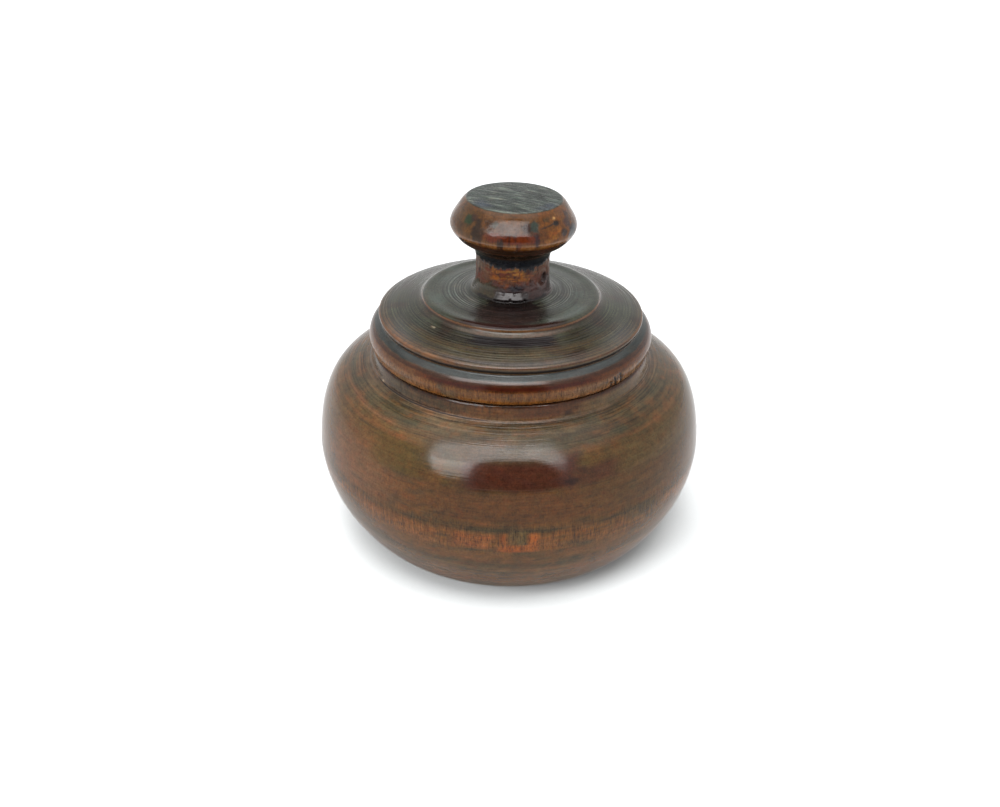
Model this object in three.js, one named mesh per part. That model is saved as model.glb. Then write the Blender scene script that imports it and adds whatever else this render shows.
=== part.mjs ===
// Turned wooden pot with a lift-off lid, in millimetres, +Z up.
// Origin: centre of the flat foot that the pot stands on.
// Two turned pieces: the hollow pot, and the lid with its knob turned in one with it.
// The lid's spigot drops into the pot's mouth with running clearance all round,
// and the lid's flange sits on the pot's rim.

import * as THREE from 'three';

// ---------------------------------------------------------------- driving dimensions

const SEGMENTS = 64;          // facets round the axis

// pot
const FOOT_R = 18.2;          // flat that the pot stands on
const BELLY_R = 42.5;         // widest radius of the pot
const BELLY_Z = 24.6;         // height of the widest point
const COLLAR_FOOT_R = 30.35;  // where the low collar rises from the shoulder
const COLLAR_FOOT_Z = 44.2;
const RIM_R = 29.8;           // outer radius of the rim
const RIM_Z = 47.4;           // height of the rim's flat top
const MOUTH_R = 25.5;         // bore of the mouth
const MOUTH_DEPTH = 5.4;      // straight part of the mouth
const HOLLOW_R = 36.6;        // widest radius of the hollow
const FLOOR_Z = 6.2;          // height of the hollow's floor

// lid
const SEAT_GAP = 0.3;         // between the lid's flange and the rim
const SPIGOT_GAP = 0.3;       // radial clearance of the spigot in the mouth
const SPIGOT_DEPTH = 4.4;     // how far the spigot reaches below the flange
const SPIGOT_R = MOUTH_R - SPIGOT_GAP;
const FLANGE_Z = RIM_Z + SEAT_GAP;
const RECESS_R = 21.2;        // hollowed underside of the lid
const RECESS_TOP_Z = 50.6;
const EDGE_R = 30.5;          // widest radius of the bead round the lid's edge
const GROOVE_R = 27.35;       // bottom of the V-groove between the bead and the top
const LEDGE_R = 28.35;        // arris where the lid's top begins
const LEDGE_Z = 54.75;
const STEP_OUT_R = 19.15;     // foot of the small step up to the raised disc
const STEP_OUT_Z = 57.3;
const STEP_IN_R = 18.9;       // top edge of that step
const STEP_IN_Z = 58.5;
const NECK_R = 7.75;
const KNOB_R = 13.05;
const KNOB_WIDE_Z = 73.2;     // height of the knob's widest ring
const TOP_FLAT_R = 9.85;      // sawn flat on top of the knob
const TOP_Z = 79.6;

// ---------------------------------------------------------------- profiles (radius, height)

// Outside of the pot from the foot's centre up to the rim, then down through the mouth
// and round the hollow to the middle of its floor.
const potProfile = [
  [0, 0],
  [FOOT_R, 0],
  [19.6, 0.42],
  [24.6, 1.7],
  [28.6, 2.75],
  [31.6, 4.1],
  [34.3, 6.15],
  [36.6, 8.9],
  [38.6, 12.1],
  [40.4, 15.7],
  [41.75, 19.9],
  [BELLY_R, BELLY_Z],
  [42.25, 29.0],
  [41.45, 33.4],
  [40.15, 37.1],
  [38.3, 39.95],
  [35.5, 42.0],
  [32.6, 43.35],
  [COLLAR_FOOT_R, COLLAR_FOOT_Z],
  [30.12, 45.3],
  [RIM_R, RIM_Z - 0.35],
  [RIM_R - 0.35, RIM_Z],
  [MOUTH_R + 0.4, RIM_Z],
  [MOUTH_R, RIM_Z - 0.4],
  [MOUTH_R, RIM_Z - MOUTH_DEPTH],
  [27.2, 40.3],
  [31.2, 37.9],
  [34.4, 34.2],
  [36.1, 29.6],
  [HOLLOW_R, 24.4],
  [35.7, 18.6],
  [33.0, 13.2],
  [28.6, 9.3],
  [22.4, 7.2],
  [14.0, 6.4],
  [0, FLOOR_Z],
];

// Underside of the lid from the middle of its recess, round the spigot and flange,
// over the rounded edge and the top, up the neck and over the knob.
const lidProfile = [
  [0, RECESS_TOP_Z],
  [8.0, 50.1],
  [14.2, 48.7],
  [18.6, 46.6],
  [RECESS_R, FLANGE_Z - SPIGOT_DEPTH + 0.3],
  [RECESS_R + 0.4, FLANGE_Z - SPIGOT_DEPTH],
  [SPIGOT_R - 0.6, FLANGE_Z - SPIGOT_DEPTH],
  [SPIGOT_R, FLANGE_Z - SPIGOT_DEPTH + 0.6],
  [SPIGOT_R, FLANGE_Z],
  [29.8, FLANGE_Z],
  [30.12, FLANGE_Z + 0.35],
  [30.36, 49.0],
  [EDGE_R, 49.95],
  [30.36, 50.85],
  [29.75, 51.95],
  [28.95, 52.65],
  [GROOVE_R, 53.6],
  [GROOVE_R, 53.75],
  [LEDGE_R - 0.07, 54.55],
  [LEDGE_R, LEDGE_Z],
  [27.5, 55.15],
  [24.0, 56.1],
  [STEP_OUT_R, STEP_OUT_Z],
  [STEP_IN_R, STEP_IN_Z],
  [18.4, 58.75],
  [14.0, 58.9],
  [10.4, 59.1],
  [8.9, 59.8],
  [8.1, 61.2],
  [NECK_R, 63.6],
  [NECK_R, 66.6],
  [8.35, 68.7],
  [10.6, 70.2],
  [12.1, 71.6],
  [KNOB_R, KNOB_WIDE_Z],
  [12.75, 74.7],
  [11.95, 76.2],
  [11.2, 77.7],
  [10.5, 78.7],
  [TOP_FLAT_R, 79.2],
  [0, TOP_Z],
];

// ---------------------------------------------------------------- pieces

function turned(name, profile, material) {
  const points = profile.map(([r, z]) => new THREE.Vector2(r, z));
  const mesh = new THREE.Mesh(new THREE.LatheGeometry(points, SEGMENTS), material);
  mesh.name = name;
  mesh.rotation.x = Math.PI / 2;   // the lathe axis becomes +Z
  return mesh;
}

const potWood = new THREE.MeshStandardMaterial({ color: 0x5a4128, roughness: 0.34, metalness: 0 });
const lidWood = new THREE.MeshStandardMaterial({ color: 0x51402b, roughness: 0.3, metalness: 0 });

const group = new THREE.Group();
group.name = 'lidded_pot';
group.add(turned('pot', potProfile, potWood));
group.add(turned('lid', lidProfile, lidWood));

export default group;
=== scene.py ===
# Turned wooden pot with a lift-off lid: the looks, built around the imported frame.
# Lengths in the profiles are in millimetres; everything in Blender is in metres.

import math

import bpy
import numpy as np
from mathutils import Matrix, Vector


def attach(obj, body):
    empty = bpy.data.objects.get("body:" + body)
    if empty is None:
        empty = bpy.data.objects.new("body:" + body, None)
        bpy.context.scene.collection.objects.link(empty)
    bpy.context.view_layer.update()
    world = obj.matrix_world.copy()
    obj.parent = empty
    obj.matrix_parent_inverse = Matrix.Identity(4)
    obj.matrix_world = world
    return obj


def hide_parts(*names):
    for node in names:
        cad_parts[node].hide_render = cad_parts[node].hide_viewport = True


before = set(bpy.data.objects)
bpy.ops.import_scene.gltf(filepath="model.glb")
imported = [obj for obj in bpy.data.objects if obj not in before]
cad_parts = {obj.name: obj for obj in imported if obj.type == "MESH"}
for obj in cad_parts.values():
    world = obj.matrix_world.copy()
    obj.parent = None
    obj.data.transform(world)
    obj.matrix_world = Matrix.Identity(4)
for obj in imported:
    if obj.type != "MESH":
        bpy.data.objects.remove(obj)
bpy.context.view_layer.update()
MM = 0.001
TAU = 2 * math.pi


# ---------------------------------------------------------------- noise, seeded

class Noise:
    """Gradient noise in three dimensions, about -1 to 1, the same for the same seed."""

    def __init__(self, seed):
        rng = np.random.default_rng(seed)
        self.perm = np.tile(rng.permutation(256), 2)
        g = rng.normal(size=(256, 3))
        self.grad = g / np.linalg.norm(g, axis=1)[:, None]

    def one(self, x, y, z):
        xi, yi, zi = (np.floor(v).astype(int) for v in (x, y, z))
        xf, yf, zf = x - xi, y - yi, z - zi
        u, v, w = (t * t * t * (t * (t * 6 - 15) + 10) for t in (xf, yf, zf))
        p = self.perm

        def corner(a, b, c):
            h = p[p[p[(xi + a) & 255] + ((yi + b) & 255)] + ((zi + c) & 255)]
            g = self.grad[h]
            return g[..., 0] * (xf - a) + g[..., 1] * (yf - b) + g[..., 2] * (zf - c)

        def mix(a, b, t):
            return a + (b - a) * t

        lo = mix(mix(corner(0, 0, 0), corner(1, 0, 0), u), mix(corner(0, 1, 0), corner(1, 1, 0), u), v)
        hi = mix(mix(corner(0, 0, 1), corner(1, 0, 1), u), mix(corner(0, 1, 1), corner(1, 1, 1), u), v)
        return mix(lo, hi, w) * 1.6

    def __call__(self, x, y, z, octaves=1, gain=0.5):
        x, y, z = np.broadcast_arrays(np.asarray(x, float), y, z)
        total, a, f = 0.0, 1.0, 1.0
        for k in range(octaves):
            total = total + a * self.one(x * f + 17.3 * k, y * f - 9.1 * k, z * f + 4.7 * k)
            a, f = a * gain, f * 2.03
        return total


def smooth(lo, hi, v):
    t = np.clip((v - lo) / (hi - lo), 0, 1)
    return t * t * (3 - 2 * t)


def bump(v, centre, half):
    """1 at the centre, 0 at half either side, smooth."""
    return np.cos(np.clip((v - centre) / half, -1, 1) * math.pi / 2) ** 2


def turn(theta, centre):
    """Signed angle from centre, in radians, wrapped."""
    return (theta - centre + math.pi) % TAU - math.pi


# ---------------------------------------------------------------- profiles

def spline(points, step=0.02):
    """A natural cubic curve through the points, sampled every step."""
    p = np.array(points, float)
    if len(p) == 2:
        n = max(2, int(np.linalg.norm(p[1] - p[0]) / step) + 1)
        return p[0] + (p[1] - p[0]) * np.linspace(0, 1, n)[:, None]
    t = np.r_[0, np.cumsum(np.linalg.norm(np.diff(p, axis=0), axis=1))]
    h = np.diff(t)
    n = len(p)
    a = np.zeros((n, n))
    b = np.zeros((n, 2))
    a[0, 0] = a[-1, -1] = 1
    for i in range(1, n - 1):
        a[i, i - 1], a[i, i], a[i, i + 1] = h[i - 1], 2 * (h[i - 1] + h[i]), h[i]
        b[i] = 3 * ((p[i + 1] - p[i]) / h[i] - (p[i] - p[i - 1]) / h[i - 1])
    c = np.linalg.solve(a, b)
    q = np.linspace(0, t[-1], int(t[-1] / step) + 2)
    k = np.clip(np.searchsorted(t, q, side="right") - 1, 0, n - 2)
    d = (q - t[k])[:, None]
    bb = (p[k + 1] - p[k]) / h[k][:, None] - h[k][:, None] * (2 * c[k] + c[k + 1]) / 3
    dd = (c[k + 1] - c[k]) / (3 * h[k][:, None])
    return p[k] + bb * d + c[k] * d * d + dd * d**3


class Profile:
    """Sections of a turned outline joined end to end, with the corner between two rounded by a radius."""

    def __init__(self, sections, radii):
        runs = [spline(s) for s in sections]
        out = [runs[0]]
        self.marks = [0]
        for run, radius in zip(runs[1:], radii):
            before, corner = out[-1], run[0]
            db = np.linalg.norm(before - corner, axis=1)
            da = np.linalg.norm(run - corner, axis=1)
            reach = min(radius, db[0] * 0.45, da[-1] * 0.45)
            keep_b, keep_a = before[db >= reach], run[da >= reach]
            t = np.linspace(0, 1, max(6, int(reach * 2 / 0.02)))[1:-1, None]
            bend = (1 - t) ** 2 * keep_b[-1] + 2 * t * (1 - t) * corner + t * t * keep_a[0]
            out[-1] = keep_b
            out.append(bend)
            out.append(keep_a)
        p = np.concatenate(out)
        keep = np.r_[True, np.linalg.norm(np.diff(p, axis=0), axis=1) > 1e-6]
        self.p = p[keep]
        self.s = np.r_[0, np.cumsum(np.linalg.norm(np.diff(self.p, axis=0), axis=1))]
        self.length = self.s[-1]

    def at(self, s):
        return np.interp(s, self.s, self.p[:, 0]), np.interp(s, self.s, self.p[:, 1])

    def normal(self, s):
        e = 0.03
        ra, za = self.at(np.clip(s - e, 0, self.length))
        rb, zb = self.at(np.clip(s + e, 0, self.length))
        tr, tz = rb - ra, zb - za
        n = np.hypot(tr, tz)
        return tz / n, -tr / n

    def find(self, r, z):
        """Arc length of the point of the outline nearest to (r, z)."""
        return self.s[np.argmin(np.hypot(self.p[:, 0] - r, self.p[:, 1] - z))]


def lathe(name, profile, zones, displace, attributes, weights, colour, lean=None):
    """A closed turned mesh. zones are (end arc length, ring spacing, segments); displace gives the
    offset along the outline's normal; weights are (arc length, share) for the unwrap."""
    rings, counts = [0.0], [1]
    start = 0.0
    for end, step, count in zones:
        n = max(1, int(round((end - start) / step)))
        for k in range(1, n + 1):
            rings.append(start + (end - start) * k / n)
            counts.append(count)
        start = end
    counts[-1] = 1
    rings = np.array(rings)
    r, z = profile.at(rings)
    nr, nz = profile.normal(rings)
    first = np.r_[0, np.cumsum(counts)]
    theta = np.concatenate([np.arange(c) * TAU / c for c in counts])
    ring = np.repeat(np.arange(len(counts)), counts)
    s_v, r_v, z_v, nr_v, nz_v = rings[ring], r[ring], z[ring], nr[ring], nz[ring]
    ct, st = np.cos(theta), np.sin(theta)
    d = displace(theta, s_v, r_v, z_v, r_v * ct, r_v * st)
    pole = (ring == 0) | (ring == len(counts) - 1)
    d = np.where(pole, 0, d)
    rr, zz = r_v + d * nr_v, z_v + d * nz_v
    co = np.stack([rr * ct, rr * st, zz], 1)
    if lean:
        co = lean(co)
    wk = np.array(weights, float)
    dens = np.interp(rings, wk[:, 0], wk[:, 1])
    vv = np.r_[0, np.cumsum((dens[1:] + dens[:-1]) / 2 * np.diff(rings))]
    vv = 0.004 + 0.992 * vv / vv[-1]
    quads, quv, tris, tuv = [], [], [], []
    for i in range(len(counts) - 1):
        a, b, fa, fb, va, vb = counts[i], counts[i + 1], first[i], first[i + 1], vv[i], vv[i + 1]
        if a == b:
            j = np.arange(a)
            k = (j + 1) % a
            quads.append(np.stack([fa + j, fa + k, fb + k, fb + j], 1))
            u0, u1 = j / a, (j + 1) / a
            quv.append(np.stack([u0, u0 * 0 + va, u1, u0 * 0 + va, u1, u0 * 0 + vb, u0, u0 * 0 + vb], 1))
        elif a == 1 or b == 1:
            n = max(a, b)
            j = np.arange(n)
            k = (j + 1) % n
            u0, u1, um = j / n, (j + 1) / n, (j + 0.5) / n
            o = u0 * 0
            if a == 1:
                tris.append(np.stack([fa + o.astype(int), fb + k, fb + j], 1))
                tuv.append(np.stack([um, o + va, u1, o + vb, u0, o + vb], 1))
            else:
                tris.append(np.stack([fa + j, fa + k, fb + o.astype(int)], 1))
                tuv.append(np.stack([u0, o + va, u1, o + va, um, o + vb], 1))
        elif b == 2 * a:
            j = np.arange(a)
            k = (j + 1) % a
            u0, um, u1 = j / a, (j + 0.5) / a, (j + 1) / a
            o = u0 * 0
            tris += [
                np.stack([fa + j, fb + 2 * j + 1, fb + 2 * j], 1),
                np.stack([fa + j, fa + k, fb + 2 * j + 1], 1),
                np.stack([fa + k, fb + (2 * j + 2) % b, fb + 2 * j + 1], 1),
            ]
            tuv += [
                np.stack([u0, o + va, um, o + vb, u0, o + vb], 1),
                np.stack([u0, o + va, u1, o + va, um, o + vb], 1),
                np.stack([u1, o + va, u1, o + vb, um, o + vb], 1),
            ]
        elif a == 2 * b:
            j = np.arange(b)
            k = (j + 1) % b
            u0, um, u1 = j / b, (j + 0.5) / b, (j + 1) / b
            o = u0 * 0
            tris += [
                np.stack([fa + 2 * j, fa + 2 * j + 1, fb + j], 1),
                np.stack([fa + 2 * j + 1, fb + k, fb + j], 1),
                np.stack([fa + 2 * j + 1, fa + (2 * j + 2) % a, fb + k], 1),
            ]
            tuv += [
                np.stack([u0, o + va, um, o + va, u0, o + vb], 1),
                np.stack([um, o + va, u1, o + vb, u0, o + vb], 1),
                np.stack([um, o + va, u1, o + va, u1, o + vb], 1),
            ]
        else:
            raise ValueError(f"{name}: a zone goes from {a} to {b} segments")
    quads, tris = np.concatenate(quads), np.concatenate(tris)
    quv, tuv = np.concatenate(quv), np.concatenate(tuv)
    me = bpy.data.meshes.new(name)
    me.vertices.add(len(co))
    me.vertices.foreach_set("co", (co * MM).astype(np.float32).ravel())
    loops = np.concatenate([quads.ravel(), tris.ravel()]).astype(np.int32)
    me.loops.add(len(loops))
    me.loops.foreach_set("vertex_index", loops)
    size = np.concatenate([np.full(len(quads), 4), np.full(len(tris), 3)]).astype(np.int32)
    me.polygons.add(len(size))
    me.polygons.foreach_set("loop_start", np.r_[0, np.cumsum(size)[:-1]].astype(np.int32))
    me.polygons.foreach_set("loop_total", size)
    me.polygons.foreach_set("use_smooth", np.ones(len(size), bool))
    uv = me.uv_layers.new(name="OFBake")
    uv.data.foreach_set("uv", np.concatenate([quv.ravel(), tuv.ravel()]).astype(np.float32))
    for key, values in attributes(theta, s_v, r_v, z_v, r_v * ct, r_v * st).items():
        layer = me.attributes.new(key, "FLOAT", "POINT")
        layer.data.foreach_set("value", np.broadcast_to(values, theta.shape).astype(np.float32))
    rgba = np.ones((len(theta), 4))
    rgba[:, :3] = np.clip(colour(theta, s_v, r_v, z_v, r_v * ct, r_v * st), 0.002, 0.9)
    layer = me.attributes.new("paint", "FLOAT_COLOR", "POINT")
    layer.data.foreach_set("color", rgba.astype(np.float32).ravel())
    me.update(calc_edges=True)
    me.validate()
    o = bpy.data.objects.new(name, me)
    bpy.context.scene.collection.objects.link(o)
    print(name, "triangles", 2 * len(quads) + len(tris))
    return o


# ---------------------------------------------------------------- camera

E, ROLL = math.radians(30.305), math.radians(0.675)
TARGET = Vector((-2.066, 0, 30.594)) * MM
fw = Vector((0, math.cos(E), -math.sin(E)))
up = Vector((0, math.sin(E), math.cos(E)))
right = math.cos(ROLL) * Vector((1, 0, 0)) + math.sin(ROLL) * up
up2 = -math.sin(ROLL) * Vector((1, 0, 0)) + math.cos(ROLL) * up
cam_data = bpy.data.cameras.new("camera")
cam_data.sensor_fit = "HORIZONTAL"
cam_data.sensor_width = 36
cam_data.lens = 36 * 1011.44 / 1000
cam_data.clip_start = 0.005
cam = bpy.data.objects.new("camera", cam_data)
bpy.context.scene.collection.objects.link(cam)
cam.matrix_world = Matrix(
    [[right[i], up2[i], -fw[i], (TARGET - fw * 0.230)[i]] for i in range(3)] + [[0, 0, 0, 1]]
)
bpy.context.scene.camera = cam


# ---------------------------------------------------------------- colours laid on the mesh

DEG = math.pi / 180


def front(theta):
    """Angle round the axis in degrees: 0 in front, right positive, -180 to 180."""
    return turn(theta, -math.pi / 2) / DEG


class Paint:
    """A colour for every vertex, built up in layers (linear RGB)."""

    def __init__(self, count, colour):
        self.c = np.tile(np.array(colour, float), (count, 1))

    def bands(self, v, stops):
        at = [k for k, _ in stops]
        self.c = np.stack([np.interp(v, at, [c[i] for _, c in stops]) for i in range(3)], 1)

    def over(self, colour, amount):
        t = np.clip(np.broadcast_to(amount, len(self.c)), 0, 1)[:, None]
        self.c = self.c + (np.array(colour) - self.c) * t

    def times(self, factor):
        self.c = self.c * np.clip(np.broadcast_to(factor, len(self.c)), 0, 4)[:, None]


def spot(ph, z, r, at, height, wide, tall, soft=0.5):
    """1 inside an oval on the surface, centred at an angle and a height; wide and tall are half sizes in mm."""
    u = turn(ph * DEG, at * DEG) * r / wide
    v = (z - height) / tall
    return smooth(1 + soft, 1 - soft, np.hypot(u, v))


def span(v, lo, hi, soft):
    return smooth(lo - soft, lo + soft, v) * smooth(hi + soft, hi - soft, v)


# ---------------------------------------------------------------- the pot's shape

POT = Profile(
    [
        [(0, 0.25), (9, 0.22), (13.2, 0.12), (14.2, 0.0)],
        [(14.2, 0), (18.2, 0)],
        [(18.2, 0), (19.6, 0.42), (24.6, 1.7), (28.6, 2.75), (31.6, 4.1), (34.3, 6.15), (36.6, 8.9),
         (38.6, 12.1), (40.4, 15.7), (41.75, 19.9), (42.5, 24.6), (42.25, 29.0), (41.45, 33.4),
         (40.15, 37.1), (38.3, 39.95), (35.5, 42.0), (32.6, 43.35), (31.0, 43.95)],
        [(31.0, 43.95), (30.62, 44.15), (30.38, 44.45), (30.26, 44.9)],
        [(30.26, 44.9), (30.14, 45.6), (29.85, 47.1)],
        [(29.85, 47.1), (29.5, 47.4)],
        [(29.5, 47.4), (25.9, 47.4)],
        [(25.9, 47.4), (25.5, 47.0)],
        [(25.5, 47.0), (25.5, 42.0)],
        [(25.5, 42.0), (27.2, 40.3), (31.2, 37.9), (34.4, 34.2), (36.1, 29.6), (36.6, 24.4),
         (35.7, 18.6), (33.0, 13.2), (28.6, 9.3), (22.4, 7.2), (14.0, 6.4), (0, 6.2)],
    ],
    [0.3, 0.6, 0.3, 0.4, 0.2, 0.2, 0.2, 0.2, 0.5],
)
P = {
    "foot": POT.find(18.2, 0),
    "belly": POT.find(42.5, 24.6),
    "high": POT.find(40.6, 36.0),
    "groove": POT.find(30.45, 44.25),
    "rim": POT.find(29.6, 47.35),
    "rim_in": POT.find(25.9, 47.4),
    "mouth": POT.find(25.5, 42.0),
}
n1, n2, n3, n4, n5, n6 = (Noise(k) for k in (11, 12, 13, 14, 15, 16))


def tool_marks(s, theta, seed, pitch, depth):
    """Fine rings left by the turning tool: uneven from ring to ring, slowly changing round the piece."""
    n = Noise(seed)
    wave = n(s / pitch, np.cos(theta) * 0.25, np.sin(theta) * 0.25)
    strength = 0.55 + 0.45 * n(s / (pitch * 9), np.cos(theta) * 0.8 + 7, np.sin(theta) * 0.8)
    return depth * wave * strength


def fine_rings(s, theta, seed, pitch, depth):
    """Regular rings of a fine pointed tool, with a slight drift in spacing and depth."""
    n = Noise(seed)
    drift = 2.4 * n(s / (pitch * 5), np.cos(theta) * 0.2, np.sin(theta) * 0.2)
    strength = 0.6 + 0.4 * n(s / (pitch * 3) + 9, np.cos(theta) * 1.2, np.sin(theta) * 1.2)
    return depth * np.sin(TAU * s / pitch + drift) * strength


def ticks(theta, r, z, wide, tall, seed, level):
    """Short upright nicks: 1 in them, 0 between."""
    n = Noise(seed)
    k = r / wide
    v = n(np.cos(theta) * k, np.sin(theta) * k, z / tall)
    return smooth(level, level + 0.22, v)


def pot_shape(theta, s, r, z, x, y):
    ph = front(theta)
    outer = (s > P["foot"]) & (s < P["rim_in"])
    d = 0.035 * n1(x / 16, y / 16, z / 7)                                # hand-turned unevenness
    d = d + tool_marks(s, theta, 31, 0.42, 0.008) * smooth(38, 41, z) * (s < P["groove"])
    d = d + tool_marks(s, theta, 32, 1.1, 0.010) * outer
    d = d + tool_marks(s, theta, 33, 0.8, 0.02) * (s > P["mouth"])
    # grooves outside the collar's foot, and low on the belly
    for at, half, deep in [(31.35, 0.2, 0.02), (31.9, 0.18, 0.024), (33.4, 0.3, 0.02)]:
        d = d - deep * bump(s, POT.find(at, 43.95 - (at - 31.0) * 0.375), half) * (s < P["groove"] - 0.15)
    d = d - 0.02 * bump(z, 12.6, 0.6) * outer
    # nicks in the collar's top edge, and a torn line at its foot
    collar = (s > P["groove"]) & (s < P["rim_in"])
    worn = 0.35 + 0.65 * span(ph, -50, -6, 5)
    d = d - 0.04 * worn * ticks(theta, r, z, 0.75, 1.6, 61, 0.18) * smooth(46.3, 47.2, z) * collar
    d = d - 0.05 * ticks(theta, r, z, 0.5, 2.5, 62, 0.25) * collar
    torn = span(ph, -54, -25, 4) * smooth(-0.3, 0.25, n3(x / 1.5, y / 1.5, 0))
    d = d - 0.10 * torn * bump(z, 44.62, 0.28) * collar
    return d


def pot_masks(theta, s, r, z, x, y):
    # dark line in the groove at the collar's foot: torn wood, with painted shade in the groove
    dirt_and_shade_mask = bump(s, P["groove"], 0.35) * (0.15 + 0.75 * span(front(theta), -64, -8, 6) + 0.5 * span(front(theta), 45, 180, 10))
    wear = np.maximum(bump(s, P["rim"], 0.5) * 0.6, bump(s, P["foot"], 0.9))
    inside = smooth(P["rim_in"] - 0.4, P["rim_in"] + 0.6, s)
    under = smooth(P["foot"] + 0.6, P["foot"] - 0.8, s)
    band = span(z, 21.5, 27.5, 1.5)
    grain = 0.26 + 1.0 * band + 0.12 * span(z, 27, 33, 2) + 0.35 * (s > P["groove"])
    grain = np.where(z > 40, grain * 0.6, grain)
    rings = 0.25 + (0.30 + 0.40 * smooth(42.6, 43.4, z)) * span(z, 41.4, 44.3, 0.4) * (s < P["groove"])
    return {"cavity": dirt_and_shade_mask, "wear": wear, "inside": np.maximum(inside, under), "grain": grain, "rings": rings,
            "arc": s, "torn": np.minimum(0.75, 0.7 * bump(s, P["groove"], 0.6)
                                       + 0.40 * bump(s, P["groove"] - 0.9, 0.7) * (1 - 0.6 * span(front(theta), -12, 14, 8)))}


def pot_paint(theta, s, r, z, x, y):
    ph = front(theta)
    outer = (s > P["foot"]) & (s < P["rim_in"])
    below = s < P["groove"]
    zw = z + 0.30 * n1(x / 15, y / 15, z / 5) + 0.12 * n2(x / 4, y / 4, z / 1.5)
    p = Paint(len(theta), (0.1, 0.045, 0.014))
    p.bands(np.where(below, zw, z), [
        (0.0, (0.085, 0.042, 0.019)), (4.0, (0.115, 0.058, 0.027)), (9.0, (0.140, 0.074, 0.036)),
        (12.6, (0.125, 0.066, 0.031)), (14.6, (0.142, 0.071, 0.027)), (15.7, (0.140, 0.068, 0.021)),
        (16.3, (0.080, 0.044, 0.014)), (17.0, (0.062, 0.037, 0.013)), (17.8, (0.080, 0.043, 0.012)),
        (18.5, (0.125, 0.055, 0.014)), (21.2, (0.130, 0.054, 0.012)), (22.2, (0.158, 0.062, 0.013)),
        (25.5, (0.158, 0.060, 0.012)), (26.2, (0.096, 0.044, 0.011)), (27.3, (0.084, 0.040, 0.010)),
        (28.2, (0.116, 0.048, 0.011)), (30.5, (0.116, 0.047, 0.012)), (34.5, (0.108, 0.044, 0.011)),
        (34.9, (0.085, 0.045, 0.012)), (35.5, (0.103, 0.054, 0.014)), (38.0, (0.100, 0.056, 0.015)),
        (40.2, (0.098, 0.053, 0.015)), (41.4, (0.092, 0.048, 0.015)), (42.2, (0.083, 0.046, 0.017)),
        (42.6, (0.083, 0.054, 0.024)), (43.4, (0.098, 0.064, 0.030)), (43.85, (0.110, 0.070, 0.036)),
        (44.1, (0.125, 0.078, 0.045)), (44.45, (0.140, 0.078, 0.038)), (45.0, (0.128, 0.060, 0.022)),
        (45.6, (0.108, 0.048, 0.016)), (46.2, (0.112, 0.046, 0.014)), (46.6, (0.082, 0.034, 0.012)),
        (47.0, (0.054, 0.020, 0.010)), (47.4, (0.044, 0.016, 0.008)),
    ])
    # long smudges rubbed round the belly, and broad patches of redder and greener polish
    smudge = n3(x / 11, y / 11, z / 0.9, octaves=2)
    patch = n4(x / 13, y / 13, z / 4.0, octaves=2)
    p.times(1 + 0.28 * smudge + 0.26 * n1(x / 17, y / 17, (z + 0.03 * x) / 0.32, octaves=2) * smooth(24, 34, z))
    p.over((0.062, 0.042, 0.017), 0.65 * smooth(0.1, 0.6, patch) * outer)
    p.over((0.160, 0.056, 0.014), 0.50 * smooth(-0.15, -0.7, patch) * outer)
    streak = n6(x / 9, y / 9, (z - 0.05 * x) / 0.45, octaves=2)
    p.over((0.050, 0.032, 0.013), 0.60 * smooth(0.28, 0.6, streak) * outer * below)
    p.over((0.170, 0.070, 0.022), 0.45 * smooth(0.28, 0.6, -streak) * outer * below)
    blot = n2(x / 2.6, y / 2.6, z / 1.6, octaves=3)
    p.over((0.058, 0.042, 0.020), 0.50 * smooth(0.2, 0.55, blot) * outer * below)
    p.over((0.165, 0.062, 0.018), 0.40 * smooth(0.2, 0.55, -blot) * outer * below)
    # side of the belly: redder on the left, darker and greener on the right
    p.over((0.190, 0.082, 0.034), 0.75 * span(ph, -62, -34, 8) * span(z, 27.5, 39, 2.5))
    p.over((0.130, 0.070, 0.034), 0.60 * span(ph, -92, -62, 8) * span(z, 27.5, 41, 2.5))
    p.over((0.072, 0.038, 0.012), 0.65 * span(ph, 22, 80, 9) * span(z, 28.5, 40, 2))
    p.over((0.095, 0.058, 0.014), 0.65 * span(ph, -43, -27, 4) * span(zw, 34.9, 40.4, 0.5))
    p.over((0.104, 0.064, 0.024), 0.6 * span(ph, 32, 62, 8) * span(zw, 35.5, 39.8, 0.7))
    # thin bright lines above the belly
    p.over((0.150, 0.062, 0.020), 0.7 * span(ph, -66, -29, 6) * bump(zw, 40.75, 0.5))
    p.over((0.150, 0.064, 0.022), 0.5 * span(ph, 14, 70, 8) * bump(zw, 41.0, 0.45))
    p.over((0.160, 0.070, 0.030), 0.6 * span(ph, -80, -38, 6) * bump(zw, 42.0, 0.35))
    # shoulder painted lighter on the left and darker on the right, as light from the left
    p.times(1 + 0.36 * span(ph, -62, -18, 10) * span(z, 40.6, 44.2, 0.6) - 0.16 * span(ph, 18, 50, 8) * span(z, 40.8, 44.2, 0.6))
    p.over((0.045, 0.030, 0.012), 0.55 * bump(zw, 34.85, 0.22) * smooth(-0.4, 0.3, n5(x / 6, y / 6, 1)))
    # dark red patch in front
    edge = 1.2 * n2(x / 3.5, y / 3.5, z / 2.5)
    red = span(ph + 2.5 * edge, -14, 20, 3) * span(z + 0.5 * edge, 35.0, 40.5, 0.7)
    red = np.maximum(red, 0.75 * span(ph + 3 * edge, 14, 31, 4) * span(z + 0.4 * edge, 35.2, 38.4, 0.9))
    p.over((0.066, 0.020, 0.012), 0.92 * red)
    p.over((0.060, 0.020, 0.016), 0.35 * red * smooth(0.0, 0.5, n6(x / 2.4, y / 2.4, z / 1.4)))
    p.over((0.022, 0.010, 0.008), 0.85 * spot(ph, z, r, 17.0, 36.2, 1.4, 0.7, 0.6))
    p.over((0.028, 0.012, 0.008), 0.5 * spot(ph, z, r, 21.0, 37.9, 0.9, 0.5, 0.6))
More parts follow.
